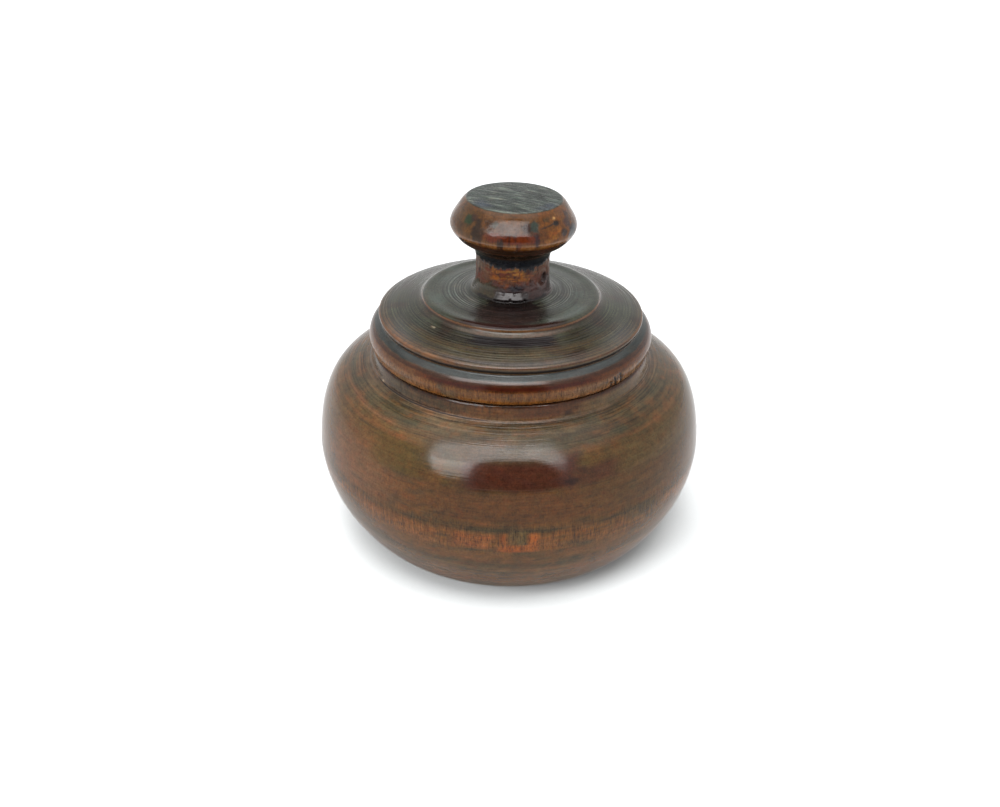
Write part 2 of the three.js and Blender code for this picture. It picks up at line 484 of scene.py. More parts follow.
    # below it, redder brown with dark dashes
    p.over((0.104, 0.038, 0.010), 0.75 * span(ph, -18, 20, 6) * span(z, 28.4, 34.6, 1.3))
    dash = smooth(0.05, 0.45, n5(x / 1.8, y / 1.8, z / 0.5))
    p.over((0.045, 0.024, 0.010), 0.65 * dash * bump(zw, 29.9, 0.9))
    # broken dark streak
    broken = smooth(-0.25, 0.35, n6(x / 4.5, y / 4.5, z / 1.2))
    where = np.maximum.reduce([0.55 * span(ph, -49, -32, 3), 0.5 * span(ph, -27, -21, 1.5), 0.95 * span(ph, -17, 15, 2),
                               0.85 * span(ph, 23, 34, 2.5), 0.35 + 0 * ph])
    p.over((0.048, 0.032, 0.013), where * (0.45 + 0.55 * broken) * bump(zw, 27.0, 1.05))
    # orange fibres, a U of bright wood and the green-grey patch inside it
    jag = 0.8 * n2(x / 0.6, y / 0.6, z / 3.0)
    p.over((0.225, 0.070, 0.018), 0.75 * span(ph + jag, -15.5, -4.5, 1.2) * span(z + 0.5 * jag, 22.2, 25.7, 0.6))
    p.over((0.205, 0.072, 0.018), 0.55 * span(ph + jag, 8.5, 13, 1.2) * span(z + 0.5 * jag, 23.0, 25.8, 0.6))
    p.over((0.210, 0.078, 0.022), 0.60 * span(ph + jag, -46, -20, 2.0) * span(z + 0.5 * jag, 22.0, 25.6, 0.8))
    u = span(ph + 0.5 * jag, -2.6, 8.0, 0.7) * span(z, 21.5, 26.2, 0.4)
    p.over((0.275, 0.074, 0.012), 0.92 * u)
    p.over((0.110, 0.068, 0.022), 0.96 * span(ph + 0.4 * jag, -0.2, 5.2, 0.6) * span(z + 0.3 * jag, 23.3, 26.6, 0.35))
    # lower lines
    p.over((0.050, 0.034, 0.014), (0.30 + 0.45 * span(ph, -16, 14, 4)) * bump(zw, 17.2, 0.7) * (0.5 + 0.5 * broken))
    p.over((0.060, 0.038, 0.014), 0.45 * bump(zw, 12.4, 0.5) * smooth(-0.3, 0.4, n4(x / 8, y / 8, 3)))
    p.over((0.060, 0.038, 0.015), 0.35 * bump(zw, 8.2, 0.6) * smooth(-0.3, 0.4, n5(x / 8, y / 8, 5)))
    # shoulder: grey-green patches and dark turned lines
    high = span(z, 41.2, 44.2, 0.5) * below
    p.over((0.045, 0.042, 0.020), 0.6 * high * smooth(0.1, 0.6, n6(x / 9, y / 9, z / 1.4)))
    p.over((0.030, 0.022, 0.012), 0.50 * bump(zw, 43.8, 0.13) * below * smooth(-0.3, 0.3, n4(x / 7, y / 7, 0)))
    p.over((0.034, 0.022, 0.012), 0.55 * bump(zw, 43.25, 0.12) * below * smooth(-0.3, 0.3, n5(x / 7, y / 7, 0)))
    p.over((0.038, 0.024, 0.012), 0.50 * bump(zw, 42.6, 0.14) * below * smooth(-0.2, 0.4, n6(x / 7, y / 7, 0)))
    # under the bright reflection the polish is darker and greyer
    p.over((0.062, 0.042, 0.022), 0.70 * span(ph, -26, 15, 5) * span(z, 39.6, 42.2, 0.6))
    # collar: upright dark ticks, redder in front on the right
    collar = (s > P["groove"]) & (s < P["rim_in"])
    p.over((0.086, 0.028, 0.011), 0.75 * collar * span(ph + 4 * edge, 2, 25, 4) * smooth(44.6, 45.3, z))
    p.over((0.045, 0.026, 0.012), 0.60 * collar * ticks(theta, r, z, 0.55, 2.6, 63, 0.12) * (0.4 + 0.6 * span(ph, -60, 0, 8)))
    p.over((0.020, 0.010, 0.007), 0.90 * collar * ticks(theta, r, z, 0.75, 1.6, 61, 0.18) * smooth(46.2, 47.1, z)
           * (0.35 + 0.65 * span(ph, -50, -6, 5)))
    p.over((0.058, 0.041, 0.022), 0.50 * collar * span(ph, -72, -16, 8) * span(z, 44.9, 46.7, 0.4))
    p.over((0.020, 0.009, 0.006), 0.85 * collar * span(ph, -54, -25, 4) * bump(z, 44.62, 0.30))
    # collar painted paler on the right near its top: a painted reflection
    p.over((0.118, 0.078, 0.036), 0.65 * collar * span(ph, 30, 85, 8) * smooth(46.9, 46.2, z))
    p.over((0.022, 0.009, 0.006), 0.80 * collar * spot(ph, z, r, 22, 45.1, 0.8, 0.5, 0.6))
    p.over((0.45, 0.33, 0.22), 0.9 * spot(ph, z, r, -60.4, 44.5, 0.35, 0.3, 0.5) * collar)
    # inside and underneath: paler bare wood, darker towards the bottom of the hollow
    inner = smooth(P["rim_in"] - 0.6, P["rim_in"] + 0.4, s)
    bare = Paint(len(theta), (0.150, 0.078, 0.034))
    bare.times(1 + 0.25 * n3(x / 9, y / 9, z / 3, octaves=2))
    bare.over((0.075, 0.040, 0.018), 0.7 * smooth(34, 10, z) * smooth(P["mouth"], P["mouth"] + 4, s))
    bare.over((0.085, 0.042, 0.018), 0.6 * smooth(P["mouth"] + 1.0, P["mouth"] - 2.0, s))
    p.c = p.c + (bare.c - p.c) * inner[:, None]
    foot = smooth(P["foot"] + 0.4, P["foot"] - 0.6, s)
    sole = Paint(len(theta), (0.105, 0.056, 0.026))
    sole.over((0.050, 0.030, 0.016), 0.6 * smooth(-0.2, 0.5, n4(x / 6, y / 6, 9)))
    sole.over((0.045, 0.028, 0.015), 0.7 * smooth(13.6, 14.2, r) * smooth(15.6, 14.4, r))
    p.c = p.c + (sole.c - p.c) * foot[:, None]
    return p.c


pot = lathe(
    "pot_turned",
    POT,
    [
        (P["foot"] - 0.6, 0.7, 128), (P["foot"] + 1.2, 0.15, 256), (P["belly"], 0.5, 256),
        (P["high"], 0.36, 256), (P["groove"] - 0.8, 0.13, 256), (P["rim"] + 0.4, 0.11, 512),
        (P["rim_in"] + 0.6, 0.3, 256), (P["mouth"], 0.35, 128), (POT.length, 0.8, 128),
    ],
    pot_shape,
    pot_masks,
    [(0, 0.35), (P["foot"], 0.5), (P["foot"] + 10, 0.8), (P["belly"], 1.0), (P["high"], 1.6),
     (P["rim"], 2.2), (P["rim_in"], 0.8), (P["mouth"], 0.5), (P["mouth"] + 8, 0.3), (POT.length, 0.15)],
    pot_paint,
)


# ---------------------------------------------------------------- the lid's shape

LID = Profile(
    [
        [(0, 50.6), (8.0, 50.1), (14.2, 48.7), (18.6, 46.6), (21.2, 43.6)],
        [(21.2, 43.6), (21.6, 43.3)],
        [(21.6, 43.3), (24.6, 43.3)],
        [(24.6, 43.3), (25.2, 43.9)],
        [(25.2, 43.9), (25.2, 47.7)],
        [(25.2, 47.7), (29.85, 47.7)],
        [(29.85, 47.7), (30.17, 48.1), (30.39, 49.0), (30.49, 49.95), (30.43, 50.4), (30.29, 50.87), (30.11, 51.3),
         (29.91, 51.63), (29.68, 51.92), (29.42, 52.17), (29.14, 52.385), (28.8, 52.60), (28.4, 52.845), (27.85, 53.19)],
        [(27.85, 53.19), (28.08, 53.62), (28.24, 54.05), (28.3, 54.42)],
        [(28.3, 54.42), (28.22, 54.7), (27.88, 54.92), (27.4, 55.1), (24.0, 56.1), (22.0, 56.62), (20.6, 57.05), (19.85, 57.34),
         (19.5, 57.54), (19.27, 57.72), (19.1, 57.9), (18.99, 58.06), (18.93, 58.2), (18.9, 58.3)],
        [(18.9, 58.3), (18.62, 58.53), (16.5, 58.72), (14.0, 58.86), (11.3, 59.0), (10.3, 59.12), (9.4, 59.32), (8.5, 59.62)],
        [(8.5, 59.62), (8.24, 60.2), (8.03, 60.85), (7.85, 61.7), (7.76, 62.6), (7.72, 65.6), (8.0, 67.9), (9.3, 69.6),
         (11.4, 71.05), (12.55, 72.4)],
        [(12.55, 72.4), (13.05, 73.45), (12.88, 75.0), (12.12, 76.38), (11.3, 77.65), (10.45, 78.72), (9.85, 79.2)],
        [(9.85, 79.2), (5, 79.5), (0, 79.6)],
    ],
    [0.2, 0.2, 0.2, 0.2, 0.2, 0.08, 0.18, 0.08, 0.15, 0.12, 0.35, 0.2],
)
L = {
    "recess": LID.find(21.2, 43.6),
    "flange": LID.find(25.2, 47.7),
    "edge": LID.find(29.85, 47.7),
    "groove": LID.find(27.87, 53.20),
    "arris": LID.find(28.27, 54.52),
    "step": LID.find(19.85, 57.36),
    "disc": LID.find(18.87, 58.25),
    "fillet": LID.find(10.9, 59.03),
    "foot": LID.find(8.48, 59.66),
    "neck": LID.find(7.75, 64.5),
    "neck_top": LID.find(8.0, 67.9),
    "knob": LID.find(12.55, 72.4),
    "wide": LID.find(13.05, 73.4),
    "flat": LID.find(9.85, 79.2),
}
SLOTS = [(41.2, 47.5, 49.4, 0.8), (43.6, 47.6, 50.2, 1.0), (45.4, 48.9, 50.4, 0.5), (46.9, 47.8, 50.5, 0.9)]   # angle, from, to, strength


def slots(ph, z, s):
    out = 0 * ph
    for at, lo, hi, strength in SLOTS:
        across = smooth(0.42, 0.08, np.abs(turn(ph * DEG, (at - 0.7 * (z - 49.0)) * DEG)) * 30.4)
        out = np.maximum(out, strength * across * span(z, lo, hi, 0.35))
    return out * (s > L["edge"]) * (s < L["groove"])


def torn_top(ph, x, y):
    return 66.6 + 0.65 * n5(x / 1.5, y / 1.5, 7, octaves=3, gain=0.8) + 1.1 * smooth(-30, -60, ph) - 0.2 * span(ph, 8, 40, 8) + 0.9 * smooth(40, 62, ph)


def torn_band(ph, s, x, y, z):
    """The rough band round the neck, with a ragged top and bottom edge."""
    lo = 63.2 + 0.8 * n4(x / 1.6, y / 1.6, 3, octaves=3, gain=0.8) - 1.2 * smooth(-40, -60, ph) + 0.5 * smooth(30, 50, ph)
    hi = torn_top(ph, x, y)
    return smooth(lo - 0.25, lo + 0.25, z) * smooth(hi + 0.3, hi - 0.3, z) * (s > L["fillet"]) * (s < L["knob"])


def lid_shape(theta, s, r, z, x, y):
    ph = front(theta)
    d = 0.03 * n2(x / 14, y / 14, z / 7)
    top = (s > L["arris"]) & (s < L["step"])
    disc = (s > L["disc"]) & (s < L["fillet"] + 2.0)
    d = d + (tool_marks(s, theta, 41, 0.36, 0.012) + fine_rings(s, theta, 44, 0.64, 0.017)) * top
    d = d + fine_rings(s, theta, 45, 0.57, 0.020) * disc * smooth(15.8, 14.0, r)
    d = d + tool_marks(s, theta, 43, 1.0, 0.008) * disc
    d = d - 0.015 * bump(r, 26.4, 0.25) * top
    # chips along the arris of the top, nicks in the bottom edge, three slots
    chip = smooth(0.25, 0.6, n6(x / 1.6, y / 1.6, 5)) * (0.4 + 0.6 * span(ph, -70, -20, 8))
    d = d - 0.12 * chip * bump(s, L["arris"], 0.55)
    low = bump(s, L["edge"] + 0.35, 0.55)
    d = d - 0.12 * low * ticks(theta, r, z, 0.8, 3.0, 64, 0.2) * (0.3 + 0.7 * span(ph, -72, -4, 6))
    d = d - 0.30 * slots(ph, z, s)
    # torn neck with a curled hole on its right
    torn = torn_band(ph, s, x, y, z)
    rough = n3(x / 0.9, y / 0.9, z / 1.5, octaves=3)
    d = d + torn * (0.09 * rough - 0.03)
    # a ledge of wood left standing in front of the neck's foot, with a ragged top
    rag = n5(np.sin(theta) * 9, np.cos(theta) * 9, 2.0, octaves=3)
    chip_ = n3(np.sin(theta) * 14, np.cos(theta) * 14, 5.0, octaves=2)
    ledge = np.where(z > 59.8, 9.10 - 0.70 * (z - 59.8), 9.10)
    ledge = np.clip(ledge - r, 0, 0.8) * span(ph + 9 * rag, -27, 22, 1.2) * smooth(61.80 + 1.1 * rag, 61.62 + 1.1 * rag, z)
    ledge = ledge * smooth(59.60 + 0.8 * chip_, 59.80 + 0.8 * chip_, z)
    ledge = ledge + 0.030 * (ledge > 0.02) * n6(x / 0.8, y / 0.8, z / 0.6, octaves=2)
    d = d + ledge * smooth(L["foot"], L["foot"] + 0.12, s) * (s < L["neck"])
    d = d + 0.05 * n5(x / 0.8, y / 0.8, z / 0.6, octaves=2) * span(z, 61.6, 63.4, 0.35) * span(ph, -40, 36, 8) * (s < L["neck"])
    u, v = turn(ph * DEG, 54 * DEG) * r, z - 63.9
    ring = np.hypot(u, v * 0.85)
    neck = (s > L["fillet"]) & (s < L["knob"])
    d = d + neck * (-0.50 * smooth(0.8, 0.2, ring) + 0.30 * bump(ring, 1.0, 0.45) - 0.14 * bump(ring, 1.7, 0.5))
    # knob: dents at the right
    flank = (s > L["knob"]) & (s < L["flat"])
    d = d + 0.022 * n4(x / 1.3, y / 1.3, z / 1.4, octaves=2) * flank * span(z, 74.3, 78.0, 0.6)
    for at, height, wide, tall, deep in [(44.5, 77.1, 0.8, 0.35, 0.14), (52, 74.6, 1.0, 0.7, 0.08),
                                         (65, 73.6, 1.6, 0.9, 0.12), (19, 76.8, 0.8, 0.9, 0.05),
                                         (-50, 76.8, 1.3, 0.7, 0.04)]:
        d = d - deep * spot(ph, z, r, at, height, wide, tall, 0.5) * flank
    # sawn flat on top of the knob
    saw = np.sin((x * 0.42 + y * 0.91) * TAU / 0.82 + 1.5 * n1(x / 4, y / 4, 0)) * 0.5
    d = d + (s > L["flat"]) * smooth(9.6, 8.8, r) * (0.045 * saw + 0.05 * n2(x * 0.25, (x * 0.42 + y * 0.91) / 0.6, 3))
    return d


def lid_lean(co):
    """The knob and the top were not turned quite square to the seat."""
    k = np.interp(co[:, 2], [48.5, 54.0, 60.0, 70.0, 80.0], [0.0, 0.006, 0.009, 0.018, 0.019])
    co[:, 2] -= co[:, 0] * k
    co[:, 0] += np.interp(co[:, 2], [58.8, 62.0, 73.0, 79.0], [0.0, 0.28, 0.25, 0.38])
    return co


def lid_masks(theta, s, r, z, x, y):
    ph = front(theta)
    wear = np.maximum.reduce([
        bump(s, L["arris"] + 0.3, 0.55) * (1 - 0.6 * span(ph, -24, 60, 8)), 0.85 * bump(s, L["disc"] - 0.1, 0.4), 0.35 * bump(s, L["flat"], 0.6),
        0.3 * bump(s, L["knob"] + 0.4, 0.7), 0.25 * bump(s, L["edge"] + 0.3, 0.6),
    ])
    # painted shade in the groove under the top's arris and in the slots
    dirt_and_shade_mask = np.maximum.reduce([bump(s, L["groove"] + 0.66, 0.56), slots(ph, z, s)])
    torn = torn_band(ph, s, x, y, z)
    inside = smooth(L["edge"] + 0.1, L["edge"] - 0.5, s)
    knob = smooth(L["knob"] - 0.3, L["knob"] + 0.2, s) * smooth(L["flat"] + 0.1, L["flat"] - 0.3, s)
    low = smooth(51.6, 50.2, z) * (s > L["edge"]) * (s < L["groove"])
    grain = 0.25 + 0.35 * knob + 0.85 * low
    rings = 0.25 + 0.75 * (s > L["arris"] + 0.5) * (s < L["step"]) + 0.75 * (s > L["disc"]) * (s < L["fillet"] + 1) * smooth(15.5, 13.5, r)
    rings = rings * (1 - knob) * (s < L["flat"])
    saw = smooth(L["flat"] - 0.1, L["flat"] + 0.15, s)
    return {"cavity": dirt_and_shade_mask, "wear": wear, "inside": inside, "grain": grain, "rings": rings, "arc": s, "torn": torn,
            "saw": saw}


def lid_paint(theta, s, r, z, x, y):
    ph = front(theta)
    edge = n2(x / 3.0, y / 3.0, z / 2.5)
    fine = n3(x / 1.2, y / 1.2, z / 1.0, octaves=2)
    p = Paint(len(theta), (0.11, 0.055, 0.024))                          # under the lid: bare wood
    p.times(1 + 0.2 * n4(x / 8, y / 8, z / 3, octaves=2))
    p.over((0.075, 0.040, 0.018), 0.6 * span(s, L["recess"], L["flange"], 0.5))

    # rounded edge: orange and worn below, dark red above it, slate in the hollow over the bead; a painted reflection
    # pales its lower right, and a painted sky reflection pales the hollow
    bead = smooth(L["edge"] - 0.3, L["edge"] + 0.1, s) * smooth(L["groove"] + 0.1, L["groove"] - 0.1, s)
    b = Paint(len(theta), (0.138, 0.052, 0.011))
    b.over((0.138, 0.064, 0.025), 0.85 * smooth(-30, -44, ph + 6 * edge))
    b.over((0.080, 0.052, 0.024), 0.70 * span(ph, -52, -17, 4) * smooth(0.0, 0.45, edge))
    # left of the bead painted lighter, as light from the left
    b.times(1 + 0.38 * span(ph, -80, -34, 8))
    b.over((0.110, 0.042, 0.012), 0.75 * span(ph, 24, 100, 8))
    # lower right of the bead painted paler: a painted reflection
    b.over((0.165, 0.082, 0.036), 0.70 * span(ph, 18, 62, 8) * smooth(50.7, 50.1, z))
    b.times(1 + 0.25 * n1(x / 0.8, y / 0.8, z / 3.0, octaves=2))
    b.over((0.180, 0.066, 0.012), 0.65 * span(ph + 2 * fine, -9, -2, 1.5) * span(z, 48.0, 49.6, 0.4))
    b.over((0.175, 0.066, 0.012), 0.55 * span(ph + 2 * fine, 10, 19, 2) * span(z, 48.3, 49.8, 0.4))
    b.times(1 + 0.35 * smooth(49.2, 48.4, z))
    b.over((0.074, 0.020, 0.007), 0.60 * span(z + 0.25 * edge, 50.5, 51.9, 0.3))
    b.over((0.046, 0.0072, 0.0028), 0.97 * span(z + 0.18 * edge, 50.85, 51.65, 0.25) * span(ph, -34, 34, 9))
    b.over((0.034, 0.012, 0.007), 0.85 * span(z + 0.12 * edge, 51.6, 52.3, 0.2))
    b.over((0.011, 0.021, 0.021), 0.94 * smooth(52.1, 52.45, z + 0.10 * edge))
    # pale blue-grey over the slate, in front and at the sides: painted reflection of the sky
    b.over((0.028, 0.038, 0.036), 0.85 * smooth(52.75, 53.05, z) * span(ph, -46, 40, 14))
    b.times(1 + 0.5 * n5(x / 3.5, y / 3.5, z / 0.35, octaves=2) * smooth(51.8, 52.4, z))
    b.over((0.032, 0.042, 0.040), 0.70 * smooth(52.85, 53.1, z) * (1 - span(ph, -46, 40, 14)))
    b.over((0.050, 0.036, 0.022), 0.40 * smooth(52.2, 52.6, z) * smooth(0.1, 0.5, n6(x / 5, y / 5, z)) * smooth(20, 50, np.abs(ph)))
    p.c = p.c + (b.c - p.c) * bead[:, None]
    # painted shade along the bottom edge where the lid sits on the pot, deeper in its nicks
    p.over((0.016, 0.008, 0.006), 0.85 * smooth(L["edge"] + 0.3, L["edge"] + 0.02, s) * (s > L["edge"] - 0.4)
           * (0.45 + 0.55 * ticks(theta, r, z, 0.8, 3.0, 64, 0.1)))
    # painted shade in the slots
    p.over((0.010, 0.005, 0.004), slots(ph, z, s))

    # top: dark brown wood with a green cast, redder at the arris
    top = smooth(L["groove"] + 0.1, L["groove"] + 0.3, s)
    t = Paint(len(theta), (0.034, 0.033, 0.017))
    t.over((0.044, 0.050, 0.026), 0.70 * smooth(-0.2, 0.5, n4(x / 8, y / 8, 2)))
    t.over((0.076, 0.056, 0.027), 0.72 * smooth(22.5, 24.2, r) * span(ph, -48, 48, 14))
    t.over((0.050, 0.032, 0.014), 0.50 * smooth(24.8, 26.8, r) * span(ph, -95, 85, 15))
    t.over((0.034, 0.012, 0.007), 0.60 * smooth(0.1, 0.6, n5(x / 5, y / 5, 4)))
    t.times(1 + 0.45 * n1(s / 0.35, np.cos(theta) * 1.2, np.sin(theta) * 1.2, octaves=2))
    t.times(1 - 0.20 * span(np.abs(ph), 32, 72, 9) * smooth(27.5, 26.5, r))
    t.over((0.095, 0.045, 0.018), 0.70 * span(r + 0.5 * edge, 26.8, 28.6, 0.4) * (0.35 + 0.65 * span(ph, -78, -15, 10)))
    t.over((0.075, 0.048, 0.022), 0.50 * span(r + 0.4 * edge, 23.3, 24.8, 0.4) * span(ph, -60, 60, 12))
    # dark patch on the top in front, with a ragged edge: painted dark reflection of the knob and neck
    t.over((0.030, 0.018, 0.010), 0.45 * span(ph, -50, 50, 12) * span(r, 20.6, 23.4, 1.2))
    knob_reflection_edge = 0.30 * n6(np.sin(theta) * 30, r / 0.5, 2.0, octaves=2)
    t.over((0.006, 0.0025, 0.0035), 0.95 * span(ph + 14 * knob_reflection_edge, -22, 24, 3) * span(r + 1.6 * knob_reflection_edge, 19.8, 22.6, 0.6))
    t.over((0.014, 0.007, 0.005), 0.60 * bump(r, 25.9, 0.16) * smooth(-0.5, 0.1, n4(x / 6, y / 6, 1)))
    t.over((0.014, 0.008, 0.005), 0.50 * bump(r, 23.4, 0.12) * smooth(-0.1, 0.4, n6(x / 6, y / 6, 1)))
    t.over((0.105, 0.042, 0.017), 0.90 * bump(s, L["arris"] + 0.22, 0.5) * smooth(-0.7, -0.1, fine))
    t.over((0.260, 0.100, 0.024), 0.65 * bump(s, L["arris"] + 0.3, 0.9) * span(ph, -66, -22, 6) * smooth(-0.25, 0.2, fine))
    # pale grey band inside the arris in front: painted sheen
    t.over((0.100, 0.082, 0.070), 0.70 * bump(s, L["arris"] + 1.3, 0.75) * span(ph, -25, 25, 10))
    ring = np.sin(TAU * s / 0.64 + 2.4 * n2(s / 3.2, np.cos(theta) * 0.2, np.sin(theta) * 0.2))
    t.times(1 - (0.60 + 0.18 * smooth(40, 70, np.abs(ph))) * smooth(0.2, 1.0, ring) * (0.65 + 0.35 * n5(x / 5, y / 5, 3)))
    t.times(1 - 0.30 * smooth(105, 150, np.abs(ph)))
    t.over((0.45, 0.36, 0.24), 0.85 * spot(ph, r, r, -47, 21.5, 0.28, 0.28, 0.5) * (s > L["arris"]) * (s < L["step"]))
    p.c = p.c + (t.c - p.c) * top[:, None]

    # riser and raised disc
    # riser painted paler in front: a painted highlight
    p.over((0.155, 0.104, 0.076), (0.10 + 0.65 * span(ph, -30, 30, 14)) * span(s, L["step"] - 0.2, L["step"] + 0.7, 0.3))
    p.over((0.105, 0.040, 0.015), 0.75 * span(s, L["disc"] - 0.45, L["disc"] + 0.05, 0.12))
    p.over((0.020, 0.010, 0.007), 0.45 * span(s, L["step"] + 0.6, L["disc"] - 0.3, 0.15) * smooth(15, 50, np.abs(ph)))
    disc = smooth(L["disc"], L["disc"] + 0.25, s)
    p.over((0.042, 0.046, 0.030), disc)
    p.over((0.070, 0.040, 0.020), 0.45 * disc * smooth(17.2, 18.4, r) * smooth(-0.4, 0.4, n4(x / 4, y / 4, 6)))
    p.over((0.060, 0.078, 0.058), 0.80 * disc * span(r, 12.5, 18.2, 1.2) * smooth(-0.4, 0.4, n6(x / 7, y / 7, 8)))
    # painted dark reflections of the knob and neck: the disc's front edge, a patch in front, and the disc next to the
    # neck in front
    p.over((0.024, 0.004, 0.002), 0.90 * disc * span(ph, -36, 36, 8) * smooth(17.0, 17.8, r))
    p.over((0.027, 0.013, 0.014), 0.85 * disc * spot(ph, r, r, -3, 14, 8.5, 4.2, 0.4))
    p.over((0.010, 0.005, 0.005), 0.90 * disc * span(ph + 10 * fine, -34, 31, 4) * smooth(12.2, 10.4, r))
    ring = np.sin(TAU * s / 0.57 + 2.4 * n2(s / 2.8, np.cos(theta) * 0.2, np.sin(theta) * 0.2))
    line = smooth(-0.4, 0.3, n5(s / 0.3, np.cos(theta) * 1.5, np.sin(theta) * 1.5))
    # pale lines on the rings at the sides near the neck: painted sheen
    p.over((0.150, 0.160, 0.132), 0.80 * disc * span(r, 8.4, 13.5, 1.0) * line * smooth(0.3, -0.5, ring)
           * np.maximum(span(ph, -150, -42, 15), span(ph, 42, 150, 15)))
    p.times(1 - 0.62 * disc * smooth(15.6, 14.2, r) * smooth(0.1, 1.0, ring) * (s < L["fillet"] + 2.0))
    p.over((0.015, 0.010, 0.008), 0.45 * disc * smooth(18.4, 15, r) * smooth(0.1, 0.5, -n5(s / 0.3, np.cos(theta) * 1.5, np.sin(theta) * 1.5)))

    # neck: dark red below, torn and pale in the middle, blue-black above
    neck = smooth(L["fillet"] + 1.9, L["fillet"] + 2.6, s) * (s < L["knob"])
    n_ = Paint(len(theta), (0.046, 0.022, 0.020))
    n_.over((0.056, 0.048, 0.024), 0.80 * smooth(-14, -38, ph + 14 * fine) * smooth(-150, -120, ph) * smooth(64.4, 62.4, z + 0.5 * edge))
    n_.over((0.098, 0.027, 0.015), 0.80 * span(ph + 8 * fine, -30, -17, 3) * span(z + 0.5 * fine, 62.4, 64.4, 0.4))
    n_.over((0.190, 0.052, 0.010), 0.85 * span(ph + 8 * fine, -17, -7, 2) * span(z + 0.5 * fine, 62.3, 64.4, 0.4))
    n_.over((0.120, 0.026, 0.009), 0.80 * span(ph + 8 * fine, -7, 16, 2) * span(z + 0.5 * fine, 62.7, 64.2, 0.4))
    n_.over((0.082, 0.038, 0.033), 0.75 * span(ph, 15, 64, 5) * span(z, 61.4, 64.6, 0.5))
    n_.over((0.012, 0.008, 0.014), 0.90 * spot(ph, z, r, 5, 62.4, 1.5 + 0.5 * fine, 0.75, 0.5))
    n_.over((0.036, 0.030, 0.030), 0.80 * smooth(61.8, 61.3, z) * span(ph, -26, 24, 3))
    # near black at the foot of the neck in front: painted shade under the ledge
    n_.over((0.008, 0.005, 0.005), 0.92 * smooth(60.2, 59.8, z + 0.3 * fine) * span(ph, -60, 60, 8))
    torn = torn_band(ph, s, x, y, z)
    a = n1(x / 0.8, y / 0.8, z / 2.2, octaves=3)
    c = n4(x / 2.6, y / 2.6, z / 0.55, octaves=3)
    e = n6(x / 1.3, y / 1.3, z / 2.2, octaves=3)
    n_.over((0.110, 0.042, 0.020), torn)
    n_.over((0.270, 0.088, 0.010), 0.95 * torn * smooth(-0.35, 0.15, c + 0.3 * a) * span(ph + 8 * fine, -38, 32, 5) * span(z + 0.4 * fine, 63.9, 66.7, 0.35))
    n_.over((0.300, 0.140, 0.030), 0.80 * torn * smooth(0.15, 0.5, c - 0.4 * a) * span(ph, -12, 26, 5) * span(z, 64.9, 66.6, 0.3))
    n_.over((0.075, 0.010, 0.003), 0.92 * torn * bump(z + 0.5 * fine, 64.85, 0.36) * span(ph + 10 * fine, -50, 14, 5))
    n_.over((0.120, 0.016, 0.004), 0.75 * torn * smooth(0.15, 0.45, -c))
    n_.over((0.030, 0.008, 0.006), 0.85 * torn * spot(ph, z, r, 23, 66.0, 0.9, 0.7, 0.5))
    n_.over((0.170, 0.105, 0.055), 0.70 * torn * span(ph + 8 * fine, -80, -36, 5) * smooth(-0.2, 0.3, c) * smooth(64.2, 65.2, z))
    n_.over((0.150, 0.120, 0.080), 0.65 * torn * smooth(0.0, 0.4, -c) * (span(ph, -120, -50, 6) + span(ph, 30, 120, 6)) * smooth(64.6, 65.6, z))
    n_.over((0.110, 0.040, 0.030), 0.60 * torn * span(ph, 24, 50, 6) * smooth(65.2, 64.6, z))
    n_.over((0.018, 0.006, 0.005), 0.85 * torn * smooth(0.45, 0.62, -e))
    for at, wide, low_, high in [(-73, 0.35, 62.8, 67.4), (-62, 0.28, 64.0, 67.0), (-54, 0.25, 64.4, 66.4), (-27, 0.22, 64.4, 66.3),
                                 (-9, 0.20, 64.4, 66.0), (3, 0.18, 62.6, 65.0), (13, 0.25, 64.8, 66.6)]:
        n_.over((0.022, 0.007, 0.005), 0.85 * bump(turn(ph * DEG, at * DEG) * r + 0.8 * fine, 0.0, wide) * span(z + 0.3 * fine, low_, high, 0.3))
    hi = torn_top(ph, x, y)
    above = smooth(hi - 0.25, hi + 0.15, z + 0.3 * fine)
    n_.over((0.011, 0.012, 0.015), above * smooth(69.6, 68.6, z))
    n_.over((0.075, 0.050, 0.042), 0.50 * above * smooth(68.0, 67.4, z) * span(ph + 10 * fine, -62, -30, 4) * smooth(-0.2, 0.2, e))
    n_.over((0.016, 0.009, 0.004), smooth(68.4, 69.2, z))
    n_.over((0.046, 0.011, 0.004), 0.85 * smooth(69.9, 71.0, z) * (0.35 + 0.65 * smooth(14, 34, np.abs(ph))))
    u, v = turn(ph * DEG, 54 * DEG) * r, z - 63.9
    ring = np.hypot(u, v * 0.85)
    n_.over((0.110, 0.060, 0.045), 0.40 * bump(ring, 1.45, 0.35))
    n_.over((0.022, 0.007, 0.005), 0.92 * smooth(1.25, 0.9, ring))
    n_.over((0.120, 0.085, 0.070), 0.60 * smooth(0.42, 0.12, np.hypot(u, v + 0.3)))
    p.c = p.c + (n_.c - p.c) * neck[:, None]

